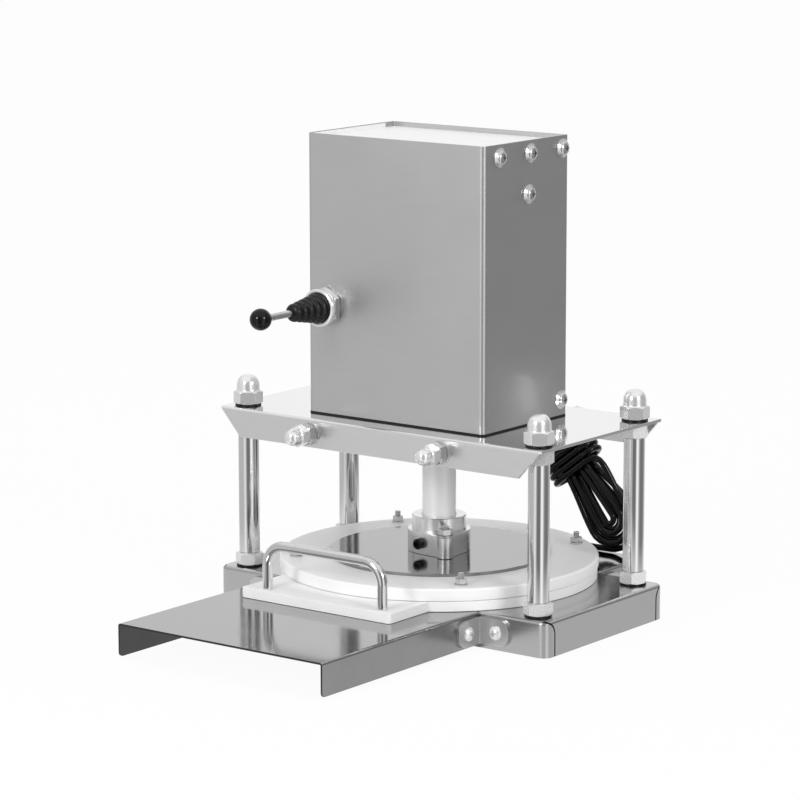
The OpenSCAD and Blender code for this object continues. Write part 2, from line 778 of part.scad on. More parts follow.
module rear_cover() color("darkgray") at_ram() difference() {
    union() {
        translate([inner_left, housing_rear - housing_sheet, housing_z])
            cube([inner_right - inner_left, housing_sheet, housing_h]);
        for (x = [inner_left, inner_right - housing_sheet])
            translate([x, rear_flange_y, housing_z + housing_sheet + sheet_gap])
                cube([
                    housing_sheet, cover_flange + housing_sheet,
                    cover_top - 2 * housing_sheet - 2 * sheet_gap - housing_z
                ]);
    }
    translate([gland_x, housing_rear, gland_z]) rotate([90, 0, 0])
        cylinder(d = gland_thread_d + 2 * thread_gap, h = 2 * housing_sheet + 2 * cut, center = true);
    housing_screw_holes();
}

module top_cover() color("gainsboro") at_ram() difference() {
    union() {
        translate([inner_left, inner_front + housing_bend_r, cover_top - housing_sheet])
            cube([inner_right - inner_left, inner_rear - inner_front - housing_bend_r, housing_sheet]);
        translate([inner_left + housing_bend_r, inner_front, cover_top - housing_sheet])
            cube([inner_right - inner_left - 2 * housing_bend_r, housing_bend_r, housing_sheet]);
        for (x = [inner_left, inner_right - housing_sheet])
            translate([x, inner_front + housing_bend_r, cover_top - cover_flange])
                cube([
                    housing_sheet, rear_flange_y - sheet_gap - inner_front - housing_bend_r, cover_flange
                ]);
    }
    housing_screw_holes();
}

module housing_gasket() color("black") at_ram() translate([0, 0, plate_top]) linear_extrude(gasket_t)
    difference() {
        housing_outline(0);
        translate([housing_left + foot_flange, housing_front + foot_flange])
            square([housing_w - 2 * foot_flange, housing_d - foot_flange - 4 * housing_sheet]);
    }

module housing_screws() color("white") at_ram() for (side = [-1, 1]) at_housing_screws(side) difference() {
    union() {
        dome_head(screw_head_d, screw_head_h);
        translate([0, 0, -screw_l]) cylinder(d = screw_d, h = screw_l + screw_head_h / 2);
    }
    for (turn = [0, 90]) rotate([0, 0, turn]) translate([0, 0, screw_head_h])
        cube([screw_head_d / 2, screw_head_h / 3, screw_head_h], center = true);
}

// Joystick, built with its axis along +Z and then laid to point forwards

module at_joystick() translate([lever_x, housing_front, lever_z]) rotate([90, 0, 0]) children();

module joystick_body() color("dimgray") at_ram() at_joystick() difference() {
    union() {
        translate([0, 0, -housing_sheet - switch_l / 2])
            cube([switch_w, switch_w, switch_l], center = true);
        translate([0, 0, -housing_sheet]) cylinder(d = barrel_d, h = barrel_l + housing_sheet);
    }
    translate([0, 0, -switch_cavity_l]) cylinder(d = barrel_bore_d, h = switch_cavity_l + barrel_l + cut);
    translate([0, 0, housing_front - lever_pivot_y]) rotate([0, 90, 0])
        cylinder(d = pivot_d + 2 * thread_gap, h = barrel_d + 2 * cut, center = true);
}

module joystick_bezel() color("white") at_ram() at_joystick() difference() {
    hexagon(bezel_af, bezel_l);
    translate([0, 0, -cut]) cylinder(d = barrel_d + 2 * thread_gap, h = bezel_l + 2 * cut);
}

function boot_r(share) = (boot_base_d + (boot_tip_d - boot_base_d) * share) / 2;

module lever_boot() color("black") at_ram() at_joystick() translate([0, 0, bezel_l + sheet_gap])
    rotate_extrude() polygon(concat(
        [for (i = [0 : 2 * boot_ribs])
            let (share = i / (2 * boot_ribs))
            [boot_r(share) * (i % 2 == 0 ? 1 : boot_groove_share), boot_l * share]],
        [for (i = [2 * boot_ribs : -1 : 0])
            let (share = i / (2 * boot_ribs))
            [max(boot_r(share) * (i % 2 == 0 ? 1 : boot_groove_share) - boot_wall, lever_d / 2 + sheet_gap),
                boot_l * share]]
    ));

module lever_rod() color("silver") at_ram() at_joystick() {
    pivot_h = housing_front - lever_pivot_y;
    difference() {
        union() {
            translate([0, 0, pivot_h - lever_tail])
                cylinder(d = lever_d, h = knob_reach - pivot_h + lever_tail);
            translate([0, 0, pivot_h]) sphere(d = pivot_ball_d);
        }
        translate([0, 0, pivot_h]) rotate([0, 90, 0])
            cylinder(d = pivot_d + 2 * run_gap, h = pivot_ball_d + 2 * cut, center = true);
    }
}

module lever_pin() color("silver") at_ram() translate([lever_x, lever_pivot_y, lever_z])
    rotate([0, 90, 0]) cylinder(d = pivot_d, h = barrel_d - 4 * thread_gap, center = true);

module ball_knob() color("black") at_ram() at_joystick() translate([0, 0, knob_reach]) difference() {
    sphere(d = knob_d);
    translate([0, 0, -knob_d]) cylinder(d = lever_d + 2 * thread_gap, h = knob_d + sheet_gap);
}

// Ram drive

module drive_tube() color("darkgray") at_ram() difference() {
    union() {
        translate([0, 0, plate_top]) cylinder(d = drive_tube_d, h = gearbox_up);
        translate([-drive_flange_w / 2, -drive_flange_w / 2, plate_top])
            cube([drive_flange_w, drive_flange_w, drive_flange_t]);
    }
    translate([0, 0, plate_top - cut])
        cylinder(d = drive_tube_d - 2 * drive_tube_wall, h = gearbox_up + 2 * cut);
    at_guide_screws() translate([0, 0, plate_top - cut])
        cylinder(d = guide_screw_d + 2 * thread_gap, h = drive_flange_t + 2 * cut);
}

module at_gearbox_screws() for (
    x = [gearbox_left + gearbox_screw_inset, gearbox_right - gearbox_screw_inset],
    y = [-1, 1]
) translate([x, y * (drive_bracket_d / 2 - gearbox_screw_inset) + drive_bracket_y, 0]) children();

module gearbox_outline() translate([gearbox_left, -gearbox_half_d - gearbox_wall])
    square([gearbox_right - gearbox_left, 2 * (gearbox_half_d + gearbox_wall)]);

module gearbox_case() color("gray") at_ram() difference() {
    translate([0, 0, gearbox_z]) linear_extrude(bearing_h + gearbox_inner_h) gearbox_outline();
    translate([0, 0, gearbox_z + bearing_h]) {
        cylinder(r = gear_r + gear_module + gearbox_gap, h = gearbox_inner_h + cut);
        translate([gear_reach, 0, 0])
            cylinder(r = pinion_r + gear_module + gearbox_gap, h = gearbox_inner_h + cut);
    }
    translate([0, 0, gearbox_z - cut]) cylinder(d = bearing_d + 2 * run_gap, h = bearing_h + 2 * cut);
    translate([gear_reach, 0, gearbox_z - cut])
        cylinder(d = motor_boss_d + 2 * thread_gap, h = bearing_h + 2 * cut);
    at_gearbox_screws() translate([0, 0, gearbox_lid_z - gearbox_inner_h])
        cylinder(d = gearbox_screw_d + 2 * thread_gap, h = gearbox_inner_h + cut);
}

module gearbox_lid() color("dimgray") at_ram() difference() {
    translate([0, 0, gearbox_lid_z]) linear_extrude(gearbox_lid_t) gearbox_outline();
    translate([0, 0, gearbox_lid_z - cut])
        cylinder(d = upper_bearing_d + 2 * run_gap, h = gearbox_lid_t + 2 * cut);
    at_gearbox_screws() translate([0, 0, gearbox_lid_z - cut])
        cylinder(d = gearbox_screw_d + 2 * thread_gap, h = gearbox_lid_t + 2 * cut);
}

module gearbox_screws() color("silver") at_ram() at_gearbox_screws()
    translate([0, 0, bracket_z + drive_bracket_t]) {
        cylinder(d = 2 * gearbox_screw_d, h = gearbox_screw_d);
        translate([0, 0, -drive_bracket_t - gearbox_lid_t - gearbox_inner_h])
            cylinder(d = gearbox_screw_d, h = drive_bracket_t + gearbox_lid_t + gearbox_inner_h);
    }

module drive_bracket() color("silver") at_ram() difference() {
    union() {
        translate([inner_left, drive_bracket_y - drive_bracket_d / 2, bracket_z])
            cube([inner_right - inner_left, drive_bracket_d, drive_bracket_t]);
        for (x = [inner_left, inner_right - drive_bracket_t])
            translate([x, drive_bracket_y - drive_bracket_d / 2, bracket_z])
                cube([drive_bracket_t, drive_bracket_d, drive_bracket_end_h]);
    }
    at_gearbox_screws() translate([0, 0, bracket_z - cut])
        cylinder(d = gearbox_screw_d + 2 * thread_gap, h = drive_bracket_t + 2 * cut);
    translate([0, 0, bracket_z - cut]) cylinder(d = upper_bearing_d, h = drive_bracket_t + 2 * cut);
    housing_screw_holes();
}

module motor() color("black") at_ram() translate([gear_reach, 0, gearbox_z]) difference() {
    union() {
        translate([0, 0, -motor_l]) cylinder(d = motor_d, h = motor_l);
        cylinder(d = motor_boss_d, h = motor_boss_h);
    }
    translate([0, 0, -motor_l / 2]) cylinder(d = motor_shaft_d + 2 * run_gap, h = motor_l);
}

// Involute spur gear: half the angle that a tooth fills at radius r
function turn_of(angle) = tan(angle) * 180 / PI - angle;

function tooth_half(teeth, r) =
    90 / teeth - gear_backlash / (gear_module * teeth) * 90 / PI
    + turn_of(gear_pressure_angle)
    - turn_of(acos(min(1, gear_module * teeth / 2 * cos(gear_pressure_angle) / r)));

function spoke(r, angle) = [r * cos(angle), r * sin(angle)];

module spur_gear(teeth) {
    r = gear_module * teeth / 2;
    root = r - gear_root_share * gear_module;
    low = max(root, r * cos(gear_pressure_angle));
    steps = 6;
    flank = [for (i = [0 : steps]) low + (r + gear_module - low) * i / steps];
    linear_extrude(gear_face) polygon([for (k = [0 : teeth - 1]) each concat(
        [spoke(root, 360 * k / teeth - tooth_half(teeth, low))],
        [for (f = flank) spoke(f, 360 * k / teeth - tooth_half(teeth, f))],
        [for (i = [steps : -1 : 0]) spoke(flank[i], 360 * k / teeth + tooth_half(teeth, flank[i]))],
        [spoke(root, 360 * k / teeth + tooth_half(teeth, low))]
    )]);
}

module motor_pinion() color("gold") at_ram() translate([gear_reach, 0, 0]) {
    translate([0, 0, gear_z]) rotate([0, 0, 180 + 180 / pinion_teeth]) spur_gear(pinion_teeth);
    translate([0, 0, gearbox_z - motor_l / 2 + sheet_gap])
        cylinder(d = motor_shaft_d, h = gear_z + gear_face - gearbox_z + motor_l / 2 - sheet_gap);
}

module screw_gear() color("khaki") at_ram() difference() {
    union() {
        translate([0, 0, gear_z]) spur_gear(gear_teeth);
        translate([0, 0, gearbox_z + bearing_h + sheet_gap])
            cylinder(d = gear_hub_d - 4 * gear_lift / 2, h = gearbox_inner_h - 2 * sheet_gap);
    }
    translate([0, 0, gearbox_z])
        cylinder(d = journal_d + 2 * thread_gap, h = 2 * bearing_h + gearbox_inner_h);
}

module lead_screw() color("silver") at_ram() {
    translate([0, 0, lead_screw_z]) cylinder(d = lead_screw_d, h = gearbox_z - sheet_gap - lead_screw_z);
    translate([0, 0, lead_screw_z])
        cylinder(d = journal_d, h = gearbox_lid_z + gearbox_lid_t - lead_screw_z);
}

module screw_bearings() color("silver") at_ram() {
    translate([0, 0, gearbox_z]) washer(bearing_d, bearing_h, journal_d + 2 * run_gap - 2 * thread_gap);
    translate([0, 0, gearbox_lid_z])
        washer(upper_bearing_d, upper_bearing_h, journal_d + 2 * run_gap - 2 * thread_gap);
}

module lead_nut() color("peru") at_ram() difference() {
    union() {
        translate([0, 0, ram_top]) cylinder(d = ram_d, h = lead_nut_flange_h);
        translate([0, 0, ram_top - lead_nut_l])
            cylinder(d = ram_d - 2 * ram_wall - 2 * thread_gap, h = lead_nut_l);
    }
    translate([0, 0, ram_top - lead_nut_l - cut])
        cylinder(d = lead_screw_d + 2 * run_gap, h = lead_nut_l + lead_nut_flange_h + 2 * cut);
}

module control_board() color("seagreen") at_ram() translate([control_x, control_y, plate_top]) {
    cube([control_w, control_d, control_h]);
    for (i = [0 : relay_count - 1])
        translate([(control_w - relay_w) / 2, control_d * (i + 0.5) / relay_count - relay_w / 2, control_h])
            cube([relay_w, relay_w, relay_h]);
}

// Press head

module ram_tube() color("white") at_ram() translate([0, 0, collar_z])
    washer(ram_d, ram_top - collar_z, ram_d - 2 * ram_wall - 2 * thread_gap);

module at_boss_turns() for (turn = [-45, 135]) rotate([0, 0, turn]) children();

module at_bosses() at_boss_turns() translate([boss_reach, 0, 0]) children();

module boss_web() polygon([
    for (turn = [web_turn, -web_turn]) [web_ring_r * cos(turn), web_ring_r * sin(turn)],
    for (turn = [-web_turn, web_turn]) [boss_reach + web_boss_r * cos(turn), web_boss_r * sin(turn)]
]);

module press_collar() color("gainsboro") at_ram() difference() {
    translate([0, 0, collar_z]) {
        linear_extrude(collar_lower_h) {
            circle(d = collar_lower_d);
            at_bosses() circle(d = boss_d);
            at_boss_turns() boss_web();
        }
        cylinder(d = collar_upper_d, h = collar_lower_h + collar_upper_h);
    }
    translate([0, 0, collar_z - cut])
        cylinder(d = ram_d + 2 * thread_gap, h = collar_lower_h + collar_upper_h + 2 * cut);
    translate([0, 0, collar_z + collar_lower_h / 2]) at_bosses()
        cylinder(d = boss_stud_d + 2 * thread_gap, h = collar_lower_h);
    translate([0, 0, collar_z + collar_lower_h / 2]) rotate([90, 0, 0]) {
        cylinder(d = set_screw_d * 2 / 3 + 2 * thread_gap, h = collar_lower_d);
        translate([0, 0, spot_reach]) cylinder(d = set_screw_d + 2 * sheet_gap, h = boss_reach);
    }
}

module collar_screw() color("black") at_ram()
    translate([0, 0, collar_z + collar_lower_h / 2]) rotate([90, 0, 0]) difference() {
        union() {
            translate([0, 0, ram_d / 2 + sheet_gap])
                cylinder(d = set_screw_d * 2 / 3, h = collar_lower_d / 2 - ram_d / 2);
            translate([0, 0, spot_reach + sheet_gap]) cylinder(d = set_screw_d, h = set_screw_d / 2);
        }
        translate([0, 0, spot_reach + set_screw_d / 4 + sheet_gap]) hexagon(set_screw_d / 2, set_screw_d);
    }

module collar_studs() color("silver") at_ram() translate([0, 0, collar_z + collar_lower_h]) at_bosses() {
    washer(boss_washer_d, stud_washer_t, boss_stud_d - 2 * thread_gap);
    translate([0, 0, stud_washer_t]) hexagon(boss_stud_d * 8 / 5, boss_stud_d * 3 / 4);
    translate([0, 0, -collar_lower_h / 2 + sheet_gap])
        cylinder(d = boss_stud_d, h = collar_lower_h / 2 + stud_washer_t + boss_stud_d);
}

module backing_disc() color("silver") at_ram() translate([0, 0, backing_z])
    cylinder(d = backing_d, h = backing_t);

module at_plate_studs() for (turn = stud_angles) rotate([0, 0, turn])
    translate([stud_reach, 0, 0]) children();

module press_plate() color("white") at_ram() difference() {
    translate([0, 0, press_z]) cylinder(d = press_d, h = press_t);
    at_plate_studs() translate([0, 0, press_z + press_t / 3])
        cylinder(d = stud_d + 2 * thread_gap, h = press_t);
}

module plate_studs() color("silver") at_ram() at_plate_studs() {
    translate([0, 0, press_z + press_t / 3 + sheet_gap])
        cylinder(d = stud_d, h = press_t * 2 / 3 + stud_washer_t + 2 * stud_nut_h - sheet_gap);
    translate([0, 0, backing_z]) washer(stud_washer_d, stud_washer_t, stud_d - 2 * thread_gap);
    translate([0, 0, backing_z + stud_washer_t]) hexagon(stud_nut_af, stud_nut_h);
}

// Sliding board and its handle

module handle_legs() for (x = [-1, 1])
    translate([x * handle_span / 2, -tongue_reach + handle_back, 0]) children();

module sliding_board() color("white") at_ram() difference() {
    translate([0, 0, board_z]) linear_extrude(board_t) {
        circle(d = board_d);
        translate([0, -tongue_reach / 2]) difference() {
            rounded_rect(tongue_w, tongue_reach, tongue_r);
            translate([-tongue_w / 2 - cut, tongue_reach / 2 - 2 * tongue_r])
                square([tongue_w + 2 * cut, 2 * tongue_r + cut]);
        }
    }
    handle_legs() translate([0, 0, board_z - cut])
        cylinder(d = handle_rod_d + 2 * thread_gap, h = board_t + 2 * cut);
}

module board_handle() color("gainsboro") at_ram() {
    bar_z = board_z + board_t + handle_h - handle_rod_d / 2;
    leg_z = board_z + board_t / 2;
    handle_legs() translate([0, 0, leg_z]) cylinder(d = handle_rod_d, h = bar_z - handle_bend_r - leg_z);
    translate([0, -tongue_reach + handle_back, bar_z - handle_bend_r]) {
        for (turn = [0, 180]) rotate([0, 0, turn])
            translate([handle_span / 2 - handle_bend_r, 0, 0]) rotate([90, 0, 0])
                rotate_extrude(angle = 90) translate([handle_bend_r, 0]) circle(d = handle_rod_d);
        translate([0, 0, handle_bend_r]) rotate([0, 90, 0])
            cylinder(d = handle_rod_d, h = handle_span - 2 * handle_bend_r, center = true);
    }
}

module handle_screws() color("silver") at_ram() handle_legs() translate([0, 0, board_z + board_gap])
    cylinder(d = handle_rod_d - board_gap, h = board_t / 2 - board_gap);

// Cord: gland, lead, turns round the hank, hank, tail and plug

module cord_gland() color("black") at_ram() translate([gland_x, housing_rear, gland_z])
    rotate([-90, 0, 0]) {
        hexagon(gland_nut_af, gland_nut_h);
        translate([0, 0, -housing_sheet - gland_lock_h])
            cylinder(d = gland_thread_d, h = housing_sheet + gland_lock_h);
        translate([0, 0, -housing_sheet - gland_lock_h]) hexagon(gland_lock_af, gland_lock_h);
        translate([0, 0, gland_nut_h]) cylinder(d1 = gland_tail_d, d2 = gland_tip_d, h = gland_tail_l);
    }

// From a place in the hank, along it, across it and through it, to a place in the part
function from_hank(p) = hank_top
    + p[0] * [cos(hank_lean), 0, -sin(hank_lean)]
    + p[1] * [sin(hank_lean), 0, cos(hank_lean)]
    + p[2] * [0, 1, 0];

function waist_pull(along_hank) =
    let (share = (along_hank - hank_waist) / hank_waist_half)
    abs(share) < 1 ? hank_draw_share * pow(cos(90 * share), 2) : 0;

// One loop from the right end of the lower fold: lower fold, left run, upper fold, right run
function loop_place(f, half) =
    f < 1 / 4 ? [hank_len - hank_out + half * sin(720 * f), half * cos(720 * f)]
    : f < 1 / 2 ? [hank_len - hank_out - (hank_len - 2 * hank_out) * (4 * f - 1), -half]
    : f < 3 / 4 ? [hank_out - half * sin(720 * f - 360), -half * cos(720 * f - 360)]
    : [hank_out + (hank_len - 2 * hank_out) * (4 * f - 3), half];

function hank_place(t) =
    let (
        half = hank_in + hank_step * abs(t - hank_reverse),
        p = loop_place(t - floor(t), half),
        climb = max(-1, min(1, 8 * (t - hank_reverse)))
    )
    [p[0], p[1] * (1 - waist_pull(p[0])), hank_layer / 2 * sin(90 * climb)];

hank_steps = floor(hank_end * loop_rings);
hank_first = hank_place(0);
hank_points = concat(
    [from_hank(hank_first - [cord_d, 0, 0])],
    [for (i = [0 : hank_steps]) from_hank(hank_place(i / loop_rings))],
    [from_hank(hank_place(hank_end)), from_hank(hank_place(hank_end)) - [cord_d, 0, 0]]
);

// One turn round the waist, from the left end forwards
wrap_flat = wrap_half - wrap_r;
wrap_round = 4 * wrap_flat + 2 * PI * wrap_r;
wrap_arc = PI * wrap_r;

function wrap_place(turns) =
    let (s = (turns - floor(turns)) * wrap_round, u = wrap_top + wrap_pitch * turns)
    s < wrap_arc / 2 ?
        [u, wrap_mid - wrap_flat - wrap_r * cos(180 * s / wrap_arc), -wrap_r * sin(180 * s / wrap_arc)]
    : s < wrap_arc / 2 + 2 * wrap_flat ?
        [u, wrap_mid - wrap_flat + s - wrap_arc / 2, -wrap_r]
    : s < wrap_arc * 1.5 + 2 * wrap_flat ?
        let (a = 180 * (s - wrap_arc / 2 - 2 * wrap_flat) / wrap_arc)
        [u, wrap_mid + wrap_flat + wrap_r * sin(a), -wrap_r * cos(a)]
    : s < wrap_arc * 1.5 + 4 * wrap_flat ?
        [u, wrap_mid + wrap_flat - (s - wrap_arc * 1.5 - 2 * wrap_flat), wrap_r]
    : let (a = 180 * (s - wrap_arc * 1.5 - 4 * wrap_flat) / wrap_arc)
        [u, wrap_mid - wrap_flat - wrap_r * sin(a), wrap_r * cos(a)];

wrap_end = wrap_turns + (wrap_arc / 2 + 2 * wrap_flat) / wrap_round;
wrap_steps = floor(wrap_end * loop_rings);
wrap_last = wrap_place(wrap_end - 1 / loop_rings / loop_rings);
join_end = hank_first - [cord_d, 0, 0];
join_pull = wrap_join_share * norm(join_end - wrap_last);
join_steps = 5;

function bend(a, b, c, d, t) =
    a * pow(1 - t, 3) + b * 3 * t * pow(1 - t, 2) + c * 3 * t * t * (1 - t) + d * pow(t, 3);

wrap_first = from_hank(wrap_place(0));
wrap_points = concat(
    [wrap_first + [0, cord_d, 0]],
    [for (i = [0 : wrap_steps - 1]) from_hank(wrap_place(wrap_end * i / wrap_steps))],
    [for (i = [0 : join_steps]) from_hank(bend(
        wrap_last, wrap_last + [0, join_pull, 0],
        join_end - [join_pull, 0, 0], join_end, i / join_steps))]
);

lead_points = concat(lead_route, [wrap_points[0]]);
tail_points = concat(
    [hank_points[len(hank_points) - 1]], tail_route, [[plug_x, plug_y, base_h + plug_rest + plug_h / 2]]
);

module cord_lead() color("black") at_ram() tube(lead_points, cord_d, cord_sides);
module cord_wrap() color("black") at_ram() tube(wrap_points, cord_d, loop_sides);
module cord_hank() color("black") at_ram() tube(hank_points, cord_d, loop_sides);
module cord_tail() color("black") at_ram() tube(tail_points, cord_d, cord_sides);

module plug() color("black") at_ram() translate([plug_x, plug_y, base_h + plug_rest + plug_h / 2])
    rotate([0, -90, 0]) {
        cylinder(d1 = cord_d + 2 * thread_gap, d2 = plug_h - 2 * plug_rest, h = plug_neck_l);
        translate([0, 0, plug_neck_l]) rotate([0, 0, 90]) linear_extrude(plug_l)
            rounded_rect(plug_w, plug_h, plug_h / 3);
        for (y = [-1, 1]) translate([0, y * plug_pin_span / 2, plug_neck_l])
            cylinder(d = plug_pin_d, h = plug_l + plug_pin_l);
    }

echo(hank_self_gap = self_gap(along(hank_points, 4), cord_d, 16));
echo(wrap_self_gap = self_gap(along(wrap_points, 3), cord_d, 16));

base_pan();
tray();
rear_shelf();
corner_brackets();
bracket_bolts();
post_front_left();
post_front_right();
post_rear_left();
post_rear_right();
post_foot_nuts();
post_base_nuts();
post_upper_nuts();
post_cap_nuts();
top_plate();
tie_rods();
tie_nuts();
tie_cap_nuts();
guide_block();
guide_bush();
guide_screws();
housing();
rear_cover();
top_cover();
housing_gasket();
housing_screws();
joystick_body();
joystick_bezel();
lever_boot();
lever_rod();
lever_pin();
ball_knob();
drive_tube();
gearbox_case();
gearbox_lid();
gearbox_screws();
drive_bracket();
motor();
motor_pinion();
screw_gear();
lead_screw();
screw_bearings();
lead_nut();
control_board();
ram_tube();
press_collar();
collar_screw();
collar_studs();
backing_disc();
press_plate();
plate_studs();
sliding_board();
board_handle();
handle_screws();
cord_gland();
cord_lead();
cord_wrap();
cord_hank();
cord_tail();
plug();
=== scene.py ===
import math
import bpy
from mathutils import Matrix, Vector


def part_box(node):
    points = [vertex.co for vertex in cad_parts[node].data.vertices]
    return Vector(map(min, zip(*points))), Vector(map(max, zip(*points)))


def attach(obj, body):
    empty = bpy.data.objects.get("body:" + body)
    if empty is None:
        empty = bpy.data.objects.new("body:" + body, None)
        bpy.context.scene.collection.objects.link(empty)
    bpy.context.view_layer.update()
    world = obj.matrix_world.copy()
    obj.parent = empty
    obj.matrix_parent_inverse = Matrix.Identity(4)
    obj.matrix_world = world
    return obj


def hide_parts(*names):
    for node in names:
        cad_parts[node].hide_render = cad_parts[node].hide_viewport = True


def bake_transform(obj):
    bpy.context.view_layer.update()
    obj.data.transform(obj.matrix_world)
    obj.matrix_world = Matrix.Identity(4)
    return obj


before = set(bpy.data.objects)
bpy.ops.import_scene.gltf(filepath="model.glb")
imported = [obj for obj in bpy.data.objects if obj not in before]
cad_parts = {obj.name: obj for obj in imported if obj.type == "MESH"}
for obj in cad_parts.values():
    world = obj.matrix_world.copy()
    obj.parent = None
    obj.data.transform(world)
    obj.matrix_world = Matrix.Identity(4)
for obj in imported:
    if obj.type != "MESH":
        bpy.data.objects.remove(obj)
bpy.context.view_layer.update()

hair = 0.0001   # metres that count as touching, and the radius of a turned tip
square = 0.9    # share of a normal from which a face looks along an axis


def span(node):
    low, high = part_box(node)
    return low, high, (low + high) / 2, high - low


ramY = span("ram_tube")[2].y


def fromRam(x, y, z):
    return Vector((x, y + ramY, z))


# Camera, fitted to the straight edges of the machine
cameraSet = {
    "place": (1.9156, -2.5786, 0.7974),   # metres from the ram axis
    "turn": 36.82,                        # degrees round to the right
    "tip": 10.44,                         # degrees looking down
    "lens": 155.3, "sensor": 36, "shift": (-0.0334, -0.0039), "clip": 100,
}
cameraWay = math.atan2(cameraSet["place"][1], cameraSet["place"][0])


def makeCamera():
    data = bpy.data.cameras.new("photoCamera")
    data.lens = cameraSet["lens"]
    data.sensor_width = cameraSet["sensor"]
    data.shift_x, data.shift_y = cameraSet["shift"]
    data.clip_end = cameraSet["clip"]
    camera = bpy.data.objects.new("photoCamera", data)
    camera.location = fromRam(*cameraSet["place"])
    camera.rotation_euler = (math.radians(90 - cameraSet["tip"]), 0, math.radians(cameraSet["turn"]))
    bpy.context.scene.collection.objects.link(camera)
    bpy.context.scene.camera = camera


makeCamera()
print("camera set")


# Hand tools

def setMode(mode):
    bpy.ops.object.mode_set(mode=mode)


def clear():
    if bpy.context.object and bpy.context.object.mode != "OBJECT":
        setMode("OBJECT")
    bpy.ops.object.select_all(action="DESELECT")


def hold(obj):
    clear()
    obj.select_set(True)
    bpy.context.view_layer.objects.active = obj


def settle(obj):
    hold(obj)
    bpy.ops.object.transform_apply(location=True, rotation=True, scale=True)
    return obj


def applyAll(obj):
    hold(obj)
    for modifier in list(obj.modifiers):
        bpy.ops.object.modifier_apply(modifier=modifier.name)


def enter(obj, kind=None):
    # edit mode with everything chosen
    hold(obj)
    setMode("EDIT")
    if kind:
        bpy.ops.mesh.select_mode(type=kind)
    bpy.ops.mesh.select_all(action="SELECT")


def choose(obj, kind, test):
    # edit mode with what passes the test chosen
    hold(obj)
    setMode("EDIT")
    bpy.ops.mesh.select_mode(type=kind)
    bpy.ops.mesh.select_all(action="DESELECT")
    setMode("OBJECT")
    mesh = obj.data
    if kind == "FACE":
        for face in mesh.polygons:
            face.select = test(face.center, face.normal)
    elif kind == "EDGE":
        for edge in mesh.edges:
            edge.select = test(*[mesh.vertices[i].co for i in edge.vertices])
    else:
        for point in mesh.vertices:
            point.select = test(point.co)
    setMode("EDIT")


def push(x, y, z):
    bpy.ops.mesh.extrude_region_move(TRANSFORM_OT_translate={"value": (x, y, z)})


def fold(obj, test, radius, steps=4, kind="EDGE", affect="EDGES"):
    choose(obj, kind, test)
    bpy.ops.mesh.bevel(offset=radius, segments=steps, profile=0.5, affect=affect)
    setMode("OBJECT")


def roundCorners(obj, test, radius, steps=8):
    fold(obj, test, radius, steps, "VERT", "VERTICES")


def dropFaces(obj, test):
    choose(obj, "FACE", test)
    bpy.ops.mesh.delete(type="FACE")
    setMode("OBJECT")


def faceOut(obj):
    enter(obj)
    bpy.ops.mesh.remove_doubles(threshold=0.000004)
    bpy.ops.mesh.normals_make_consistent(inside=False)
    setMode("OBJECT")
    return obj


def thicken(obj, thickness):
    shell = obj.modifiers.new("sheet", "SOLIDIFY")
    shell.thickness = thickness
    shell.offset = -1
    shell.use_even_offset = True
    applyAll(obj)


def softenEdges(obj, width, steps=2, angle=40):
    bevel = obj.modifiers.new("edges", "BEVEL")
    bevel.width = width
    bevel.segments = steps
    bevel.limit_method = "ANGLE"
    bevel.angle_limit = math.radians(angle)
    bevel.use_clamp_overlap = True
    applyAll(obj)


def smooth(obj, angle):
    hold(obj)
    bpy.ops.object.shade_smooth_by_angle(angle=math.radians(angle))
    flat = obj.modifiers.new("flatFaces", "WEIGHTED_NORMAL")
    flat.keep_sharp = True
    applyAll(obj)


def solid(name, add, stretch=(1, 1, 1), **settings):
    clear()
    add(**settings)
    obj = bpy.context.object
    obj.name = name
    obj.scale = stretch
    return settle(obj)


def block(name, low, high):
    low, high = Vector(low), Vector(high)
    return solid(name, bpy.ops.mesh.primitive_cube_add, high - low, size=1, location=(low + high) / 2)


def sheet(name, size, place, turn=0):
    return solid(name, bpy.ops.mesh.primitive_plane_add, (*size, 1), size=1, location=place,
                 rotation=(math.radians(turn), 0, 0))


def hexagon(name, radius, depth, middle):
    return solid(name, bpy.ops.mesh.primitive_cylinder_add, vertices=6, radius=radius, depth=depth,
                 location=(0, 0, middle))


def disc(name, radius, sides, place, fill="NGON"):
    return solid(name, bpy.ops.mesh.primitive_circle_add, vertices=sides, radius=radius, fill_type=fill,
                 location=place)


def rings(name, profile, sides, fill):
    # grown ring by ring from the foot, as (radius, height)
    obj = disc(name, profile[0][0], sides, (0, 0, profile[0][1]), fill)
    enter(obj, "EDGE" if fill == "NOTHING" else None)
    for (r0, z0), (r1, z1) in zip(profile, profile[1:]):
        push(0, 0, z1 - z0)
        bpy.ops.transform.resize(value=(r1 / r0, r1 / r0, 1), center_override=(0, 0, z1))
    setMode("OBJECT")
    return obj


def turned(name, profile, sides):
    return faceOut(rings(name, profile, sides, "NGON"))


def turnedRing(name, profile, sides):
    # a closed profile swept round, hollow in the middle
    return faceOut(rings(name, profile + profile[:1], sides, "NOTHING"))


def rounded(r, low, high, edge):
    # profile of a disc with both edges broken
    return [(r - edge, low), (r, low + edge), (r, high - edge), (r - edge, high)]


def domed(radius, base, rise, steps, start=0.0, power=1.0):
    # profile of a round top, closing at the axis
    points = []
    for i in range(1, steps + 1):
        a = start + (math.pi / 2 - start) * i / steps
        points.append((max(radius * math.cos(a) ** power, hair), base + rise * math.sin(a)))
    return points


def ribbed(count, root, tip, start, length, shares, groove):
    # profile of stepped ribs that narrow from root to tip
    pitch = length / count
    points = []
    for i in range(count):
        radius = root + (tip - root) * i / count
        a, b, c, d = [start + pitch * (i + share) for share in (0, *shares)]
        points += [(radius, a), (radius, b), (radius * groove, c), (radius * groove, d)]
    return points


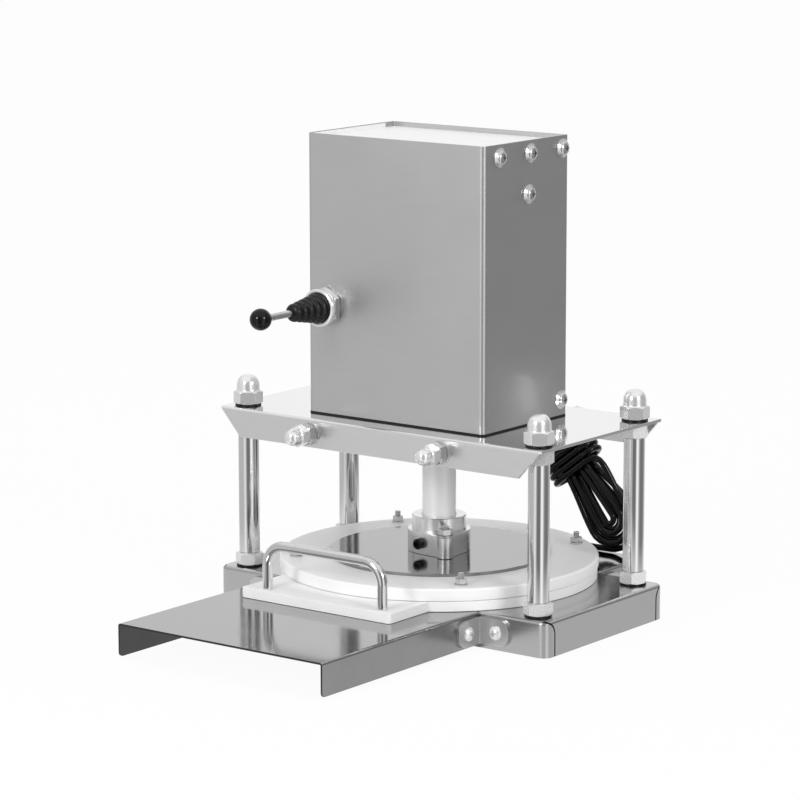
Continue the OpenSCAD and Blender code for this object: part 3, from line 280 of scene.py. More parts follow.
def combine(obj, tool, how):
    cut = obj.modifiers.new("cut", "BOOLEAN")
    cut.operation = how
    cut.solver = "EXACT"
    cut.object = tool
    applyAll(obj)
    bpy.data.objects.remove(tool)
    return obj


def lay(obj, place=(0, 0, 0), turn=(0, 0, 0)):
    obj.rotation_euler = [math.radians(a) for a in turn]
    obj.location = place
    return settle(obj)


def together(name, objs):
    clear()
    for obj in objs:
        obj.select_set(True)
    bpy.context.view_layer.objects.active = objs[0]
    if len(objs) > 1:
        bpy.ops.object.join()
    objs[0].name = name
    return objs[0]


def twin(obj):
    hold(obj)
    bpy.ops.object.duplicate(linked=False)
    return bpy.context.object


def setOut(name, obj, spots):
    # one copy with its own mesh at each (place, turn)
    made = [lay(twin(obj), place, turn) for place, turn in spots]
    bpy.data.objects.remove(obj)
    return together(name, made)


def dress(obj, body, nodes, finish, angle=35):
    obj.data.materials.clear()
    obj.data.materials.append(finishes[finish])
    if obj.type == "MESH":
        smooth(obj, angle)
    if body:
        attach(obj, body)
    if nodes:
        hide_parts(*nodes)
    return obj


# Shader tools

def setInputs(tree, node, inputs):
    for key, value in inputs.items():
        if isinstance(value, bpy.types.NodeSocket):
            tree.links.new(value, node.inputs[key])
        else:
            node.inputs[key].default_value = value


def addNode(tree, kind, inputs=None, **settings):
    made = tree.nodes.new("ShaderNode" + kind)
    for key, value in settings.items():
        setattr(made, key, value)
    setInputs(tree, made, inputs or {})
    return made


def sums(tree, how, *values):
    return addNode(tree, "Math", dict(enumerate(values)), operation=how).outputs[0]


def spread(tree, value, low, high):
    return addNode(tree, "MapRange", {"Value": value, "From Min": low, "From Max": high}).outputs[0]


def between(tree, amount, low, high):
    return addNode(tree, "MapRange", {"Value": amount, "To Min": low, "To Max": high}).outputs[0]


def tint(tree, amount, dark, light):
    return addNode(tree, "Mix", {0: amount, 6: dark, 7: light}, data_type="RGBA").outputs[2]


def mixLevel(tree, amount, low, high):
    return addNode(tree, "Mix", {0: amount, 2: low, 3: high}, data_type="FLOAT").outputs[0]


def noise(tree, place, scale, detail, more=None):
    inputs = {"Vector": place, "Scale": scale, "Detail": detail, **(more or {})}
    return addNode(tree, "TexNoise", inputs).outputs["Fac"]


def makeGroup(name, inputs, build):
    # a shared effect with one amount as its output
    group = bpy.data.node_groups.new(name, "ShaderNodeTree")
    for label, kind in inputs.items():
        group.interface.new_socket(label, in_out="INPUT", socket_type="NodeSocket" + kind)
    group.interface.new_socket("Amount", in_out="OUTPUT", socket_type="NodeSocketFloat")
    start = group.nodes.new("NodeGroupInput")
    end = group.nodes.new("NodeGroupOutput")
    group.links.new(build(group, *start.outputs[:len(inputs)]), end.inputs[0])
    return group


def useGroup(tree, group, *inputs):
    return addNode(tree, "Group", dict(enumerate(inputs)), node_tree=group).outputs[0]


def steelGrain(tree, place, stretch):
    # fine streaks drawn out along the rolling direction
    drawn = addNode(tree, "VectorMath", {0: place, 1: stretch}, operation="MULTIPLY").outputs[0]
    return spread(tree, noise(tree, drawn, 1.0, 5.0, {"Roughness": 0.65}), 0.3, 0.7)


def handMarks(tree, place, size):
    # soft cloudy patches where hands and cloths have been
    broad = noise(tree, place, size, 3.0, {"Distortion": 0.6})
    small = noise(tree, place, sums(tree, "MULTIPLY", size, 4.7), 4.0)
    return spread(tree, sums(tree, "MULTIPLY", broad, small), 0.16, 0.38)


def latheRings(tree, place, pitch):
    # rings left by a lathe tool round a vertical axis
    parts = addNode(tree, "SeparateXYZ", {0: place}).outputs
    flat = addNode(tree, "CombineXYZ", {0: parts[0], 1: parts[1]}).outputs[0]
    radius = addNode(tree, "VectorMath", {0: flat}, operation="LENGTH").outputs["Value"]
    steps = sums(tree, "MULTIPLY", sums(tree, "ADD", radius, parts[2]), pitch)
    lines = addNode(tree, "TexNoise", {"W": steps, "Scale": 1.0, "Detail": 3.0}, noise_dimensions="1D")
    return spread(tree, lines.outputs["Fac"], 0.3, 0.7)


def crossScuffs(tree, place, density):
    # thin crossing scratches
    lines = []
    for angle, thin in ((0.5, 0.02), (2.1, 0.03)):
        drawn = addNode(tree, "Mapping",
                        {"Vector": place, "Rotation": (0, 0, angle), "Scale": (1.0, thin, 1.0)})
        lines.append(spread(tree, noise(tree, drawn.outputs[0], density, 2.0), 0.68, 0.76))
    return sums(tree, "MAXIMUM", *lines)


def mouldPebble(tree, place, size):
    # the fine pebble of a moulded surface
    cells = addNode(tree, "TexVoronoi", {"Vector": place, "Scale": size}).outputs["Distance"]
    return sums(tree, "MULTIPLY", cells, noise(tree, place, size, 3.0))


grainGroup = makeGroup("steelGrain", {"Vector": "Vector", "Stretch": "Vector"}, steelGrain)
markGroup = makeGroup("handMarks", {"Vector": "Vector", "Size": "Float"}, handMarks)
turnGroup = makeGroup("latheRings", {"Vector": "Vector", "Pitch": "Float"}, latheRings)
scuffGroup = makeGroup("scuffs", {"Vector": "Vector", "Density": "Float"}, crossScuffs)
speckGroup = makeGroup("mouldPebble", {"Vector": "Vector", "Size": "Float"}, mouldPebble)


def startMaterial(name):
    material = bpy.data.materials.new(name)
    material.use_nodes = True
    tree = material.node_tree
    return material, tree, addNode(tree, "TexCoord").outputs["Object"]


def endMaterial(material, shown, rough, height, depth, inputs, strength=0.3):
    tree = material.node_tree
    bump = addNode(tree, "Bump", {"Height": height, "Strength": strength, "Distance": depth})
    made = {"Base Color": shown, "Roughness": rough, "Normal": bump.outputs[0], **inputs}
    setInputs(tree, tree.nodes["Principled BSDF"], made)
    return material


def sheetSteel(name, tones, rough, stretch, depth, marks=5.0, markRough=0.05, metal=1.0, sides=0.0,
               ends=None):
    material, tree, place = startMaterial(name)
    streak = useGroup(tree, grainGroup, place, stretch)
    mark = useGroup(tree, markGroup, place, marks)
    total = sums(tree, "ADD", between(tree, streak, *rough), between(tree, mark, 0.0, markRough))
    shown = tint(tree, streak, *tones)
    if sides or ends:
        normal = addNode(tree, "TexCoord").outputs["Normal"]
        facing = addNode(tree, "SeparateXYZ", {0: normal}).outputs
    if ends:   # painted shade and dark reflection: the sheet's cut ends are darkened
        cut = spread(tree, sums(tree, "ABSOLUTE", facing[1]), 0.5, 0.9)
        shown = tint(tree, cut, shown, ends)
    if sides:   # the folded sides are duller than the top
        dull = between(tree, sums(tree, "ABSOLUTE", facing[2]), sides, 0.0)
        total = sums(tree, "ADD", total, dull)
    return endMaterial(material, shown, total, streak, depth, {"Metallic": metal}, 0.25)


def turnedMetal(name, tones, rough, pitch, depth, centre=0.0, metal=1.0, marks=14.0, markRough=0.06):
    material, tree, place = startMaterial(name)
    moved = addNode(tree, "Mapping", {"Vector": place, "Location": (0, -centre, 0)}).outputs[0]
    ring = useGroup(tree, turnGroup, moved, pitch)
    mark = useGroup(tree, markGroup, place, marks)
    total = sums(tree, "ADD", between(tree, ring, *rough), between(tree, mark, 0.0, markRough))
    return endMaterial(material, tint(tree, ring, *tones), total, ring, depth, {"Metallic": metal})


def mouldedPlastic(name, tones, rough, size, depth, shine=0.5, scuffs=0.0, marks=9.0, density=240.0):
    material, tree, place = startMaterial(name)
    height = useGroup(tree, speckGroup, place, size)
    mark = useGroup(tree, markGroup, place, marks)
    shown = tint(tree, mark, *tones)
    roughness = between(tree, mark, *rough)
    if scuffs:
        scuff = useGroup(tree, scuffGroup, place, density)
        shown = tint(tree, sums(tree, "MULTIPLY", scuff, scuffs), shown, tones[0])
        height = sums(tree, "SUBTRACT", height, scuff)
    return endMaterial(material, shown, roughness, height, depth, {"Specular IOR Level": shine})


def colour(tone):
    # a single number is a neutral grey
    return (*tone, 1) if isinstance(tone, tuple) else (tone, tone, tone, 1)


levelGrain = (30.0, 30.0, 2600.0)
sheetGrain = (2400.0, 26.0, 26.0)
crossGrain = (26.0, 2400.0, 2400.0)
# dark and light tone, roughness, grain, depth of grain, what else differs
rolledTable = {
    # polishedSheet's dark cut ends are painted shade and dark reflection on the sheet's edge
    "polishedSheet": ((0.34, 0.37), (0.05, 0.09), sheetGrain, 0.00001, {"sides": 0.10, "ends": colour(0.06)}),
    "panSheet": ((0.47, 0.51), (0.14, 0.22), levelGrain, 0.00001, {}),
    "discSheet": ((0.30, 0.33), (0.05, 0.09), sheetGrain, 0.00001, {}),
    "mirrorTop": ((0.80, 0.87), (0.06, 0.11), crossGrain, 0.00001, {"sides": 0.22}),
    # paleSheet: pale, mostly diffuse, a painted reflection of the white surroundings
    "paleSheet": ((0.94, 0.97), (0.35, 0.45), crossGrain, 0.00001, {"metal": 0.2}),
    "satinSheet": ((0.585, 0.625), (0.34, 0.42), levelGrain, 0.000008, {"marks": 4.0}),
    "bracketSheet": ((0.58, 0.62), (0.30, 0.36), levelGrain, 0.000004, {}),
    "rodSteel": ((0.60, 0.63), (0.08, 0.10), levelGrain, 0.0000001, {"markRough": 0.02}),
}
# the same with the rings in a metre for the grain
turnedTable = {
    "brightSteel": ((0.72, 0.76), (0.07, 0.10), 900.0, 0.000002, {}),
    "nutSteel": ((0.80, 0.82), (0.24, 0.28), 1400.0, 0.0000005, {"metal": 0.62}),
    "capSteel": ((0.82, 0.88), (0.11, 0.16), 1400.0, 0.000003, {"metal": 0.68}),
    "boltSteel": ((0.60, 0.66), (0.16, 0.22), 1400.0, 0.000003, {"metal": 0.9}),
    "plainSteel": ((0.42, 0.52), (0.25, 0.38), 1200.0, 0.00001, {}),
    "turnedAlloy": ((0.80, 0.86), (0.16, 0.22), 1500.0, 0.000005, {"centre": ramY, "metal": 0.92}),
    "ramAlloy": ((0.93, 0.96), (0.42, 0.50), 700.0, 0.000005, {"centre": ramY, "metal": 0.35}),
    "bronze": (((0.50, 0.33, 0.17), (0.62, 0.43, 0.24)), (0.28, 0.4), 1200.0, 0.00001, {"centre": ramY}),
    # blackSteel: the black steel clamp screw, and the painted shade filling in the pan's seams
    "blackSteel": ((0.02, 0.035), (0.3, 0.42), 1500.0, 0.00001, {}),
}
# the same with the pebbles in a metre for the grain
mouldedTable = {
    "whiteBoard": (((0.904, 0.90, 0.896), (0.932, 0.93, 0.928)), (0.38, 0.5), 900.0, 0.00002,
                   {"scuffs": 0.10}),
    "blackGloss": ((0.003, 0.005), (0.05, 0.09), 300.0, 0.0000005, {"shine": 0.28}),
    "blackMould": ((0.010, 0.018), (0.34, 0.46), 2400.0, 0.00003, {}),
    # blackRubber: real rubber on the boot and gasket, and the painted shade ring under the nuts
    "blackRubber": ((0.006, 0.011), (0.32, 0.42), 1800.0, 0.00002, {"shine": 0.35}),
    "cordSheath": ((0.002, 0.004), (0.07, 0.12), 1500.0, 0.000004, {"shine": 0.26}),
    "circuitGreen": (((0.02, 0.12, 0.05), (0.03, 0.17, 0.07)), (0.3, 0.45), 700.0, 0.00003, {}),
    "motorPaint": ((0.025, 0.04), (0.4, 0.5), 1600.0, 0.00003, {}),
}
finishes = {}
for kind, table in ((sheetSteel, rolledTable), (turnedMetal, turnedTable), (mouldedPlastic, mouldedTable)):
    for finishName, (tones, *values, more) in table.items():
        finishes[finishName] = kind(finishName, [colour(tone) for tone in tones], *values, **more)
print("finishes made")


# Cord: lead, turns round the waist, hank and tail as one line, in millimetres from the ram axis
cordSet = {"diameter": 6.2, "sides": 3, "parts": 4}
hankSet = {
    "top": (-6.5, 170, 172.8), "lean": 50, "length": 174.5, "inner": 3, "step": 10, "out": 38, "layer": 7,
    "reverse": 19 / 8, "end": 5 + 130 / 720, "waist": 68, "waistHalf": 80, "draw": 0.42, "sway": -1,
    "steps": 48,
}
wrapSet = {
    "turns": 3, "top": 56, "pitch": 6.9, "half": 30.5, "r": 10.5, "mid": 1.6, "steps": 40, "short": 0.002,
    "join": 0.45, "joinSteps": 9,
}
leadRoute = [
    (-20, 92, 214.5), (-20, 104, 214.5), (-19.5, 120, 214), (-18, 137, 212.5), (-16, 154, 209),
    (-12, 170, 202), (-7, 183, 191), (-2, 191, 178), (2, 195, 163), (5, 196, 148), (7, 196, 133),
    (8, 193.5, 123), (9, 186, 115.5),
]
tailRoute = [(57, 173, 37), (46, 172, 37.5), (35, 171, 39), (26, 170, 40.5), (18, 169, 40.8)]
wrapFlat = wrapSet["half"] - wrapSet["r"]
wrapArc = math.pi * wrapSet["r"]


def fromHank(p):
    lean = math.radians(hankSet["lean"])
    top = hankSet["top"]
    return Vector((top[0] + p[0] * math.cos(lean) + p[1] * math.sin(lean), top[1] + p[2],
                   top[2] - p[0] * math.sin(lean) + p[1] * math.cos(lean)))


def waistPull(along):
    share = (along - hankSet["waist"]) / hankSet["waistHalf"]
    return hankSet["draw"] * math.cos(math.pi / 2 * share) ** 2 if abs(share) < 1 else 0


def loopPlace(f, half):
    # along and across at a share of one long loop
    length, out = hankSet["length"], hankSet["out"]
    turn = 4 * math.pi * f
    if f < 1 / 4:
        return length - out + half * math.sin(turn), half * math.cos(turn)
    if f < 1 / 2:
        return length - out - (length - 2 * out) * (4 * f - 1), -half
    if f < 3 / 4:
        return out - half * math.sin(turn), -half * math.cos(turn)
    return out + (length - 2 * out) * (4 * f - 3), half


def hankPlace(t):
    half = hankSet["inner"] + hankSet["step"] * abs(t - hankSet["reverse"])
    along, across = loopPlace(t - math.floor(t), half)
    climb = max(-1, min(1, 8 * (t - hankSet["reverse"])))
    return Vector((along, across * (1 - waistPull(along)) + hankSet["sway"] * (climb - 1) / 2,
                   hankSet["layer"] / 2 * math.sin(math.pi / 2 * climb)))


def wrapPlace(turns):
    # flat turns with round ends, climbing along the hank
    r, mid = wrapSet["r"], wrapSet["mid"]
    s = (turns - math.floor(turns)) * (4 * wrapFlat + 2 * wrapArc)
    along = wrapSet["top"] + wrapSet["pitch"] * turns
    if s < wrapArc / 2:
        return Vector((along, mid - wrapFlat - r * math.cos(s / r), -r * math.sin(s / r)))
    s -= wrapArc / 2
    if s < 2 * wrapFlat:
        return Vector((along, mid - wrapFlat + s, -r))
    s -= 2 * wrapFlat
    if s < wrapArc:
        return Vector((along, mid + wrapFlat + r * math.sin(s / r), -r * math.cos(s / r)))
    s -= wrapArc
    if s < 2 * wrapFlat:
        return Vector((along, mid + wrapFlat - s, r))
    s -= 2 * wrapFlat
    return Vector((along, mid - wrapFlat - r * math.sin(s / r), r * math.cos(s / r)))


def eased(points):
    # a smooth line through every point
    ends = [2 * points[0] - points[1]] + points + [2 * points[-1] - points[-2]]
    line = []
    for a, b, c, d in zip(ends, ends[1:], ends[2:], ends[3:]):
        for k in range(cordSet["parts"]):
            t = k / cordSet["parts"]
            line.append(0.5 * (2 * b + (c - a) * t + (2 * a - 5 * b + 4 * c - d) * t * t
                               + (3 * b - a - 3 * c + d) * t ** 3))
    return line + [points[-1]]


def cordLine():
    thick = cordSet["diameter"]
    wrapEnd = wrapSet["turns"] + (wrapArc / 2 + 2 * wrapFlat) / (4 * wrapFlat + 2 * wrapArc)
    wrapCount = int(wrapEnd * wrapSet["steps"])
    wrapLast = wrapPlace(wrapEnd - wrapSet["short"])
    joinEnd = hankPlace(0) - Vector((thick, 0, 0))
    pull = wrapSet["join"] * (joinEnd - wrapLast).length
    wrapFirst = fromHank(wrapPlace(0)) + Vector((0, thick, 0))
    lead = eased([Vector(p) for p in leadRoute] + [wrapFirst])
    turns = [fromHank(wrapPlace(wrapEnd * i / wrapCount)) for i in range(wrapCount)]
    join = []
    for i in range(1, wrapSet["joinSteps"] + 1):
        t = i / wrapSet["joinSteps"]
        early = wrapLast * (1 - t) ** 3 + (wrapLast + Vector((0, pull, 0))) * 3 * t * (1 - t) ** 2
        late = (joinEnd - Vector((pull, 0, 0))) * 3 * t * t * (1 - t) + joinEnd * t ** 3
        join.append(fromHank(early + late))
    count = int(hankSet["end"] * hankSet["steps"])
    loops = [fromHank(hankPlace(i / hankSet["steps"])) for i in range(count + 1)]
    last = fromHank(hankPlace(hankSet["end"]))
    tail = eased([last, last - Vector((thick, 0, 0))] + [Vector(p) for p in tailRoute])
    return [fromRam(*(p / 1000)) for p in lead + turns + join + loops + tail]


def makeCord():
    line = cordLine()
    data = bpy.data.curves.new("mainsCord", "CURVE")
    data.dimensions = "3D"
    data.bevel_depth = cordSet["diameter"] / 2000
    data.bevel_resolution = cordSet["sides"]
    data.use_fill_caps = True
    spline = data.splines.new("POLY")
    spline.points.add(len(line) - 1)
    for point, place in zip(spline.points, line):
        point.co = (*place, 1)
        point.radius = 1
    spline.use_smooth = True
    cord = bpy.data.objects.new("mainsCord", data)
    bpy.context.scene.collection.objects.link(cord)
    length = sum((b - a).length for a, b in zip(line, line[1:]))
    dress(cord, "frame", ["cord_lead", "cord_wrap", "cord_hank", "cord_tail"], "cordSheath")
    return cord, line, length


mainsCord, cordPoints, cordLength = makeCord()
print("cord laid", round(cordLength, 3))


# Gland where the cord leaves the rear cover
glandSet = {
    "nutFlats": 0.022, "nutHeight": 0.006, "collar": 0.008, "root": 0.0069, "tip": 0.0044, "tail": 0.028,
    "ribs": 6, "ribStart": 0.0085, "ribShort": 0.0025, "shares": (0.5, 0.6, 0.9), "groove": 0.86,
}


def hexBar(name, flats, height, soft=0.0003, edge=0.475):
    # a hexagonal bar with turned corners at both ends
    corner = flats / math.sqrt(3)
    slope = (corner - flats * edge) * math.tan(math.radians(30))
    obj = hexagon(name, corner, height, height / 2)
    wide, end = corner * 1.002, flats * edge
    form = turned(name + "Form", [(end, 0), (wide, slope), (wide, height - slope), (end, height)], 72)
    combine(obj, form, "INTERSECT")
    if soft:
        softenEdges(obj, soft, 2, 25)
    return obj


def makeGland():
    mid = span("cord_gland")[2]
    root, tip, tail = glandSet["root"], glandSet["tip"], glandSet["tail"]
    foot = glandSet["nutHeight"]
    nut = hexBar("glandNut", glandSet["nutFlats"], foot, 0)
    profile = [(root * 1.1, foot), (root * 1.1, glandSet["collar"])]
    profile += ribbed(glandSet["ribs"], root, tip, glandSet["ribStart"], tail - glandSet["ribShort"],
                      glandSet["shares"], glandSet["groove"])
    profile.append((tip, foot + tail - 0.0002))
    gland = together("cordGland", [nut, turned("glandSleeve", profile, 40)])
    lay(gland, (mid.x, span("rear_cover")[1].y, mid.z), (-90, 0, 0))
    return dress(gland, "frame", ["cord_gland"], "blackMould")


# Flat two-pin plug on the shelf
plugSet = {
    "neck": 0.020, "body": 0.034, "round": 0.0042, "taper": (1, 0.72, 0.9), "inset": 0.0012, "edge": 0.0009,
    "root": 0.0062, "tip": 0.0034, "ribs": 6, "ribStart": -0.001, "shares": (0.48, 0.57, 0.9), "groove": 0.84,
    "pinRadius": 0.002, "pinSpan": 0.014,
}


def makePlug():
    low, high, mid, size = span("plug")
    near = high.x - plugSet["neck"]
    far = near - plugSet["body"]
    body = block("plugBody", (far, low.y, low.z), (near, high.y, high.z))
    fold(body, lambda a, b: abs(a.x - b.x) > 0.02, plugSet["round"], 5)
    choose(body, "FACE", lambda c, n: n.x > square)
    bpy.ops.transform.resize(value=plugSet["taper"])
    bpy.ops.mesh.inset(thickness=plugSet["inset"])
    setMode("OBJECT")
    softenEdges(body, plugSet["edge"], 3)
    profile = ribbed(plugSet["ribs"], plugSet["root"], plugSet["tip"], plugSet["ribStart"], plugSet["neck"],
                     plugSet["shares"], plugSet["groove"])
    profile.append((plugSet["tip"] - hair, plugSet["neck"] - 0.0002))
    neck = lay(turned("plugNeck", profile, 32), (near, mid.y, mid.z), (0, 90, 0))
    plug = together("plugBody", [body, neck])
    dress(plug, "frame", ["plug"], "blackMould")
    r, half = plugSet["pinRadius"], plugSet["pinSpan"] / 2
    profile = [(r, -0.002), (r, 0.0165), (r * 0.93, 0.0178), (r * 0.6, 0.0188), (r * 0.1, 0.019)]
    spots = [((far, mid.y + s * half, mid.z), (0, -90, 0)) for s in (-1, 1)]
    pins = setOut("plugPins", turned("plugPin", profile, 24), spots)
    dress(pins, "frame", ["plug"], "brightSteel")
    return plug, pins


cordGland = makeGland()
plugBody, plugPins = makePlug()
print("gland and plug made")


# Base pan: one folded sheet with slit corners
panSet = {
    "sheet": 0.002, "corner": 0.009, "bend": 0.003, "edge": 0.0002, "seamInset": 0.0135, "seam": 0.0018,
    "depth": 0.012, "past": 0.001, "shade": 0.998, "shadeHeight": 0.988,
}


def seamTool(name):
    # a thin strip along the seam, standing in the plane of a side
    inset, past, drop = panSet["seamInset"], panSet["past"], span("base_pan")[3].z + panSet["past"]
    strip = sheet(name, (panSet["seam"], panSet["depth"]), (inset, 0, -drop))
    enter(strip, "FACE")
    push(0, 0, drop - inset)
    bpy.ops.mesh.spin(steps=10, angle=math.pi / 2, center=(0, 0, -inset), axis=(0, 1, 0))
    push(-past, 0, 0)
    setMode("OBJECT")
    return faceOut(strip)


def makePan():
    low, high, mid, size = span("base_pan")
    pan = block("basePan", low, high)
    fold(pan, lambda a, b: abs(a.z - b.z) > 0.01, panSet["corner"], 6)
    fold(pan, lambda a, b: min(a.z, b.z) > high.z - hair, panSet["bend"])
    dropFaces(pan, lambda c, n: n.z < -square)
    thicken(pan, panSet["sheet"])
    seamShadeFill = twin(pan)
    spots = []
    for y, turn in ((low.y, 90), (high.y, -90)):
        spots += [((x, y, high.z), (0, 0, turn)) for x in (low.x, high.x)]
    strips = setOut("seamStrips", seamTool("seamStrip"), spots)
    combine(pan, twin(strips), "DIFFERENCE")
    softenEdges(pan, panSet["edge"], 1, 60)
    dress(pan, "frame", ["base_pan"], "panSheet")
    # what shows in the seams, set a little under the sheet: a black filling that is painted shade
    combine(seamShadeFill, strips, "INTERSECT")
    seamShadeFill.name = "seamShade"
    seamShadeFill.scale = (panSet["shade"], panSet["shade"], panSet["shadeHeight"])
    lay(seamShadeFill, (0, mid.y * (1 - panSet["shade"]), 0))
    dress(seamShadeFill, "frame", [], "blackSteel")


makePan()


# Tray and shelf: channels with their sides folded down
channelSet = {"sheet": 0.002, "bend": 0.0026, "corner": 0.004, "edge": 0.0003}


def makeChannel(name, node, free):
    low, high, mid, size = span(node)
    obj = block(name, low, high)
    dropFaces(obj, lambda c, n: n.z < -square or abs(n.y) > square)
    freeY = low.y if free < 0 else high.y
    roundCorners(obj, lambda p: p.z < low.z + 0.001 and abs(p.y - freeY) < 0.001, channelSet["corner"])
    fold(obj, lambda a, b: min(a.z, b.z) > high.z - hair and abs(a.y - b.y) > 0.01, channelSet["bend"], 5)
    thicken(obj, channelSet["sheet"])
    softenEdges(obj, channelSet["edge"], 2, 60)
    dress(obj, "frame", [node], "polishedSheet")


makeChannel("frontTray", "tray", -1)
makeChannel("rearShelf", "rear_shelf", 1)


# Corner brackets and their bolts
bracketSet = {
    "thick": 0.0035, "bend": 0.004, "end": 0.0105, "edge": 0.0003, "headRadius": 0.0065, "headHeight": 0.0045,
    "rim": 0.0012, "slot": (1.05, 0.26, 0.45, 1.4), "boltShare": 0.6,
}


def makeBrackets():
    low, high, mid, size = span("corner_brackets")
    trayX = span("tray")[1].x
    panLow, panHigh = span("base_pan")[:2]
    leg, height = high.x - trayX, size.z
    plate = sheet("bracketPlate", (leg, height), (leg / 2, 0, height / 2), 90)
    choose(plate, "EDGE", lambda a, b: max(a.x, b.x) < hair)
    push(0, -leg, 0)
    setMode("OBJECT")
    roundCorners(plate, lambda p: p.x > leg - 0.001 or p.y < -leg + 0.001, bracketSet["end"])
    fold(plate, lambda a, b: max(a.x, b.x) < hair and min(a.y, b.y) > -hair, bracketSet["bend"], 5)
    faceOut(plate)
    shell = plate.modifiers.new("sheet", "SOLIDIFY")
    shell.thickness = bracketSet["thick"]
    first = plate.data.polygons[0]
    shell.offset = 1 if first.normal.y * first.center.x < 0 else -1
    applyAll(plate)
    softenEdges(plate, bracketSet["edge"], 2, 50)
    made = []
    for sx in (1, -1):
        for y, sy in ((panLow.y, 1), (panHigh.y, -1)):
            other = twin(plate)
            other.scale = (sx, sy, 1)
            made.append(faceOut(lay(other, (sx * trayX, y, low.z))))
    bpy.data.objects.remove(plate)
    brackets = together("cornerBrackets", made)
    dress(brackets, "frame", ["corner_brackets"], "bracketSheet")
    return leg, mid.z, trayX, panLow.y, panHigh.y


def domeProfile(radius, height, rim, steps=6):
    # a low dome on a short rim
    rise = height - rim
    curve = (rise * rise + radius * radius) / (2 * rise)
    points = [(radius, 0), (radius, rim)]
    for i in range(1, steps + 1):
        a = math.asin(radius / curve) * (1 - i / steps)
        points.append((max(curve * math.sin(a), hair), rim + rise - curve * (1 - math.cos(a))))
    return points


def crossCut(name, wide, thin, bottom, top):
    arms = []
    for k, (w, t) in enumerate(((thin, wide), (wide, thin))):
        arm = block(name + str(k), (-w / 2, -t / 2, bottom), (w / 2, t / 2, top))
        choose(arm, "FACE", lambda c, n: n.z < -square)
        bpy.ops.transform.resize(value=(0.7, 0.7, 1))
        setMode("OBJECT")
        arms.append(arm)
    return combine(*arms, "UNION")


def makeBracketBolts(leg, midZ, trayX, frontY, rearY):
    r, h, thick = bracketSet["headRadius"], bracketSet["headHeight"], bracketSet["thick"]
    wide, thin, bottom, top = bracketSet["slot"]
    head = turned("bracketBolt", domeProfile(r, h, bracketSet["rim"]), 48)
    combine(head, crossCut("boltSlot", r * wide, r * thin, h * bottom, h * top), "DIFFERENCE")
    reach = bracketSet["boltShare"] * leg
    spots = []
    for sx in (1, -1):
        for y, sy in ((frontY, -1), (rearY, 1)):
            spots.append(((sx * (trayX + reach), y + sy * thick, midZ), (-90 * sy, 0, 0)))
            spots.append(((sx * (trayX + thick), y + sy * reach, midZ), (0, 90 * sx, 0)))
    bolts = setOut("bracketBolts", head, spots)
    dress(bolts, "frame", ["bracket_bolts"], "nutSteel")


makeBracketBolts(*makeBrackets())
print("base made")


# Posts and their nuts
postSet = {
    "nutFlats": 0.024, "capFlats": 0.0245, "capHex": 0.014, "capDome": 0.011, "capTurn": 6, "chamfer": 0.0008,
    # line and shadeRingRadius size the thin black ring of painted shade under the nuts
    "thread": 0.008, "line": 0.0014, "shadeRingRadius": 0.0125, "nutTurns": (0, 0, 0, 28),
}
postNodes = ["post_front_left", "post_front_right", "post_rear_left", "post_rear_right"]
postSpots = [span(node)[2] for node in postNodes]
nutNodes = {"footNuts": "post_foot_nuts", "baseNuts": "post_base_nuts", "upperNuts": "post_upper_nuts"}


def makePosts():
    foot = span("post_base_nuts")[1].z
    head = span("post_upper_nuts")[0].z
    for node in postNodes:
        low, high, mid, size = span(node)
        r, c, t = size.x / 2, postSet["chamfer"], postSet["thread"]
        profile = [(t, low.z), (t, foot), *rounded(r, foot, head, c), (t, head), (t, high.z - 0.001)]
        post = turned(node.replace("post_", "post."), profile, 80)
        lay(post, (mid.x, mid.y, 0))
        dress(post, "frame", [node], "brightSteel")


def makePostNuts():
    for name, node in nutNodes.items():
        low, high, mid, size = span(node)
        # the base nuts sit on the black ring of painted shade
        line = postSet["line"] if name == "baseNuts" else 0
        spots = [((p.x, p.y, low.z + line), (0, 0, turn)) for p, turn in zip(postSpots, postSet["nutTurns"])]
        nuts = setOut(name, hexBar(name, postSet["nutFlats"], size.z - line), spots)
        dress(nuts, "frame", [node], "nutSteel", 25)


def capNut(name, flats, hexHeight, r, domeHeight):
    nut = hexBar(name, flats, hexHeight)
    straight = hexHeight + domeHeight - r
    profile = [(r + 0.0008, hexHeight - 0.0002), (r + 0.0003, hexHeight + 0.0006), (r, hexHeight + 0.0014),
               (r, straight)]
    profile += domed(r, straight, r, 10, power=0.8)
    return together(name, [nut, turned(name + "Dome", profile, 56)])


def makeCapNuts():
    low, high, mid, size = span("post_cap_nuts")
    line, hexHeight = postSet["line"], postSet["capHex"]
    nut = capNut("capNuts", postSet["capFlats"], hexHeight - line, postSet["capDome"], size.z - hexHeight)
    nuts = setOut("capNuts", nut, [((p.x, p.y, low.z + line), (0, 0, postSet["capTurn"])) for p in postSpots])
    dress(nuts, "frame", ["post_cap_nuts"], "capSteel", 30)


def makeNutShadeRings():
    # thin black ring of painted shade that shows as a line under the nuts
    r, line = postSet["shadeRingRadius"], postSet["line"]
    shadeRing = turned("nutShadeRings", [(r - 0.0002, 0), (r, 0.0002), (r, line), (r - 0.0002, line)], 48)
    heights = [span("post_base_nuts")[0].z, span("post_cap_nuts")[0].z]
    shadeRings = setOut("nutShadeRings", shadeRing, [((p.x, p.y, z), (0, 0, 0)) for p in postSpots for z in heights])
    dress(shadeRings, "frame", [], "blackRubber")


makePosts()
makePostNuts()
makeCapNuts()
makeNutShadeRings()
print("posts made")


# Top plate with folded front and rear
plateSet = {"sheet": 0.003, "bend": 0.0032, "edge": 0.0004}


